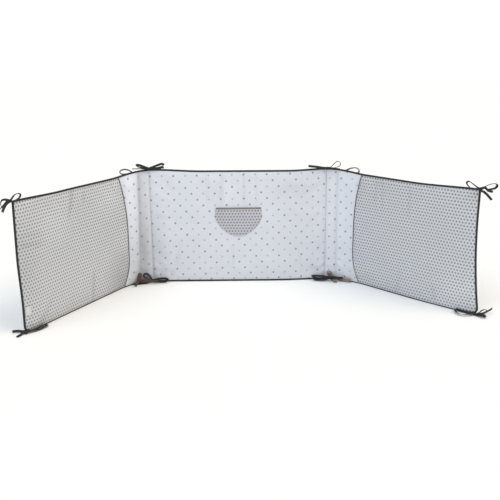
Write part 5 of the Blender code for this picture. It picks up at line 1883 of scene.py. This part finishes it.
class StageSettings(bpy.types.PropertyGroup):
    """Floor, light and camera."""

    floor: colour_setting("Floor", "Colour of the studio floor", (0.97, 0.97, 0.97))
    horizon: bpy.props.FloatProperty(name="Horizon", description="Light of the white backdrop",
                                     default=1.03, min=0.0)
    sky: bpy.props.FloatProperty(name="Sky", description="Even light from above, round about",
                                 default=0.60, min=0.0)
    lamp: bpy.props.FloatProperty(name="Lamps", description="Strength of the two broad lamps",
                                  default=1.0, min=0.0)
    lens: bpy.props.FloatProperty(name="Lens", description="Focal length of the camera",
                                  default=53.28, min=1.0, unit="CAMERA")


# ---- operators ----
class PadsOperator(bpy.types.Operator):
    """Make the padded panels in their printed cottons"""

    bl_idname = "crib_bumper.pads"
    bl_label = "Padded Panels"

    def execute(self, context):
        for name in PADS:
            build_pad(name)
        return {"FINISHED"}


class BindingOperator(bpy.types.Operator):
    """Fold the charcoal binding round the whole rim"""

    bl_idname = "crib_bumper.binding"
    bl_label = "Binding"

    def execute(self, context):
        for node, route in binding_routes().items():
            build_binding(node, route)
        return {"FINISHED"}


class PipingOperator(bpy.types.Operator):
    """Lay the piping into both arc seams"""

    bl_idname = "crib_bumper.piping"
    bl_label = "Piping"

    def execute(self, context):
        build_piping("left")
        build_piping("right")
        return {"FINISHED"}


class PocketOperator(bpy.types.Operator):
    """Sew on the half-moon pocket with its bound top edge"""

    bl_idname = "crib_bumper.pocket"
    bl_label = "Pocket"

    def execute(self, context):
        build_pocket()
        return {"FINISHED"}


class LabelOperator(bpy.types.Operator):
    """Sew on the blank side label"""

    bl_idname = "crib_bumper.label"
    bl_label = "Label"

    def execute(self, context):
        build_label()
        return {"FINISHED"}


class TiesOperator(bpy.types.Operator):
    """Tie the charcoal and the brown tapes into their bows"""

    bl_idname = "crib_bumper.ties"
    bl_label = "Ties"

    def execute(self, context):
        for node, tie in TIES.items():
            build_tie(node, *tie)
        return {"FINISHED"}


class StitchesOperator(bpy.types.Operator):
    """Stitch the folds, the binding, the pocket and the label"""

    bl_idname = "crib_bumper.stitches"
    bl_label = "Stitches"

    def execute(self, context):
        build_stitches()
        return {"FINISHED"}


class StageOperator(bpy.types.Operator):
    """Set up the pale floor, the soft light and the camera"""

    bl_idname = "crib_bumper.stage"
    bl_label = "Stage"

    def execute(self, context):
        build_stage()
        return {"FINISHED"}


FLOOR_REACH = 14.0
CAMERA_PLACE = (-0.0378, -2.532, 0.845)
CAMERA_DOWN = 16.08           # degrees below level
CAMERA_TURN = -1.8            # degrees, seen from above
SENSOR = 36.0
LAMP_SPREAD = 40              # degrees across, as the lamps look from the floor
LAMPS = (
    # name,        where the light comes from, share, tint
    ("right lamp", (0.90, -0.40, 1.25),        1.15,  (1.00, 0.87, 0.68)),
    ("left lamp",  (-0.66, -0.75, 1.25),       0.95,  (0.74, 0.88, 1.00)),
)
HORIZON_HEIGHT = (0.07, 0.24)  # sine of elevation where the backdrop turns into the sky


def build_stage():
    looks = bpy.context.scene.bumper_stage
    floor_mesh = bpy.data.meshes.new("studio_floor")
    reach = FLOOR_REACH
    floor_mesh.from_pydata([(-reach, -reach, 0), (reach, -reach, 0), (reach, reach, 0),
                            (-reach, reach, 0)], [], [(0, 1, 2, 3)])
    floor_mesh.materials.append(studio_floor("studio floor", looks.floor))
    floor = put_in_scene("studio_floor", floor_mesh)
    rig.stage(floor)
    world = bpy.data.worlds.new("studio")
    bpy.context.scene.world = world
    world.use_nodes = True
    tree = world.node_tree
    direction = tree.nodes.new("ShaderNodeTexCoord")
    parts = add_node(tree, "ShaderNodeSeparateXYZ", {}, {"Vector": direction.outputs["Generated"]})
    raised = Value(tree, parts.outputs["Z"]).share(*HORIZON_HEIGHT)
    strength = looks.horizon + raised * (looks.sky - looks.horizon)
    tree.links.new(strength.socket, tree.nodes["Background"].inputs["Strength"])
    tree.nodes["Background"].inputs["Color"].default_value = (1.0, 1.0, 1.0, 1.0)
    for name, towards, share, tint in LAMPS:
        light = bpy.data.lights.new(name, "SUN")
        light.angle = math.radians(LAMP_SPREAD)
        light.energy = looks.lamp * share
        light.color = tint
        lamp = put_in_scene(name, light)
        lamp.location = towards
        lamp.rotation_euler = Vector(towards).to_track_quat("Z", "Y").to_euler()
    lens = bpy.data.cameras.new("camera")
    lens.lens = looks.lens
    lens.sensor_width = SENSOR
    camera = put_in_scene("camera", lens)
    camera.location = CAMERA_PLACE
    camera.rotation_euler = Euler((math.radians(90 - CAMERA_DOWN), 0, math.radians(CAMERA_TURN)))
    bpy.context.scene.camera = camera
    bpy.context.scene.view_settings.view_transform = "Standard"


OPERATORS = (PadsOperator, BindingOperator, PipingOperator, PocketOperator, LabelOperator,
             TiesOperator, StitchesOperator, StageOperator)


class BumperPanel(bpy.types.Panel):
    """Settings and steps of the crib bumper"""

    bl_idname = "VIEW3D_PT_crib_bumper"
    bl_label = "Crib Bumper"
    bl_space_type = "VIEW_3D"
    bl_region_type = "UI"
    bl_category = "Bumper"

    def draw(self, context):
        for group in GROUPS:
            settings = getattr(context.scene, group)
            box = self.layout.box()
            for field in settings.bl_rna.properties.keys():
                if field not in ("rna_type", "name"):
                    box.prop(settings, field)
        for operator in OPERATORS:
            self.layout.operator(operator.bl_idname)


GROUPS = {
    "bumper_prints": PrintSettings,
    "bumper_trim": TrimSettings,
    "bumper_stitches": StitchSettings,
    "bumper_stage": StageSettings,
}


def register():
    for group, settings in GROUPS.items():
        bpy.utils.register_class(settings)
        setattr(bpy.types.Scene, group, bpy.props.PointerProperty(type=settings))
    for operator in OPERATORS:
        bpy.utils.register_class(operator)
    bpy.utils.register_class(BumperPanel)


def unregister():
    bpy.utils.unregister_class(BumperPanel)
    for operator in reversed(OPERATORS):
        bpy.utils.unregister_class(operator)
    for group, settings in reversed(GROUPS.items()):
        delattr(bpy.types.Scene, group)
        bpy.utils.unregister_class(settings)


def main():
    solid_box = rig.bounds()
    register()
    bpy.ops.crib_bumper.pads()
    bpy.ops.crib_bumper.binding()
    bpy.ops.crib_bumper.piping()
    bpy.ops.crib_bumper.pocket()
    bpy.ops.crib_bumper.label()
    bpy.ops.crib_bumper.ties()
    bpy.ops.crib_bumper.stitches()
    bpy.ops.crib_bumper.stage()
    dressed_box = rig.bounds()
    with open(SIZE_FILE, "w") as file:
        json.dump({"cad": [list(corner) for corner in solid_box],
                   "visual": [list(corner) for corner in dressed_box]}, file)


if __name__ == "__main__":
    main()
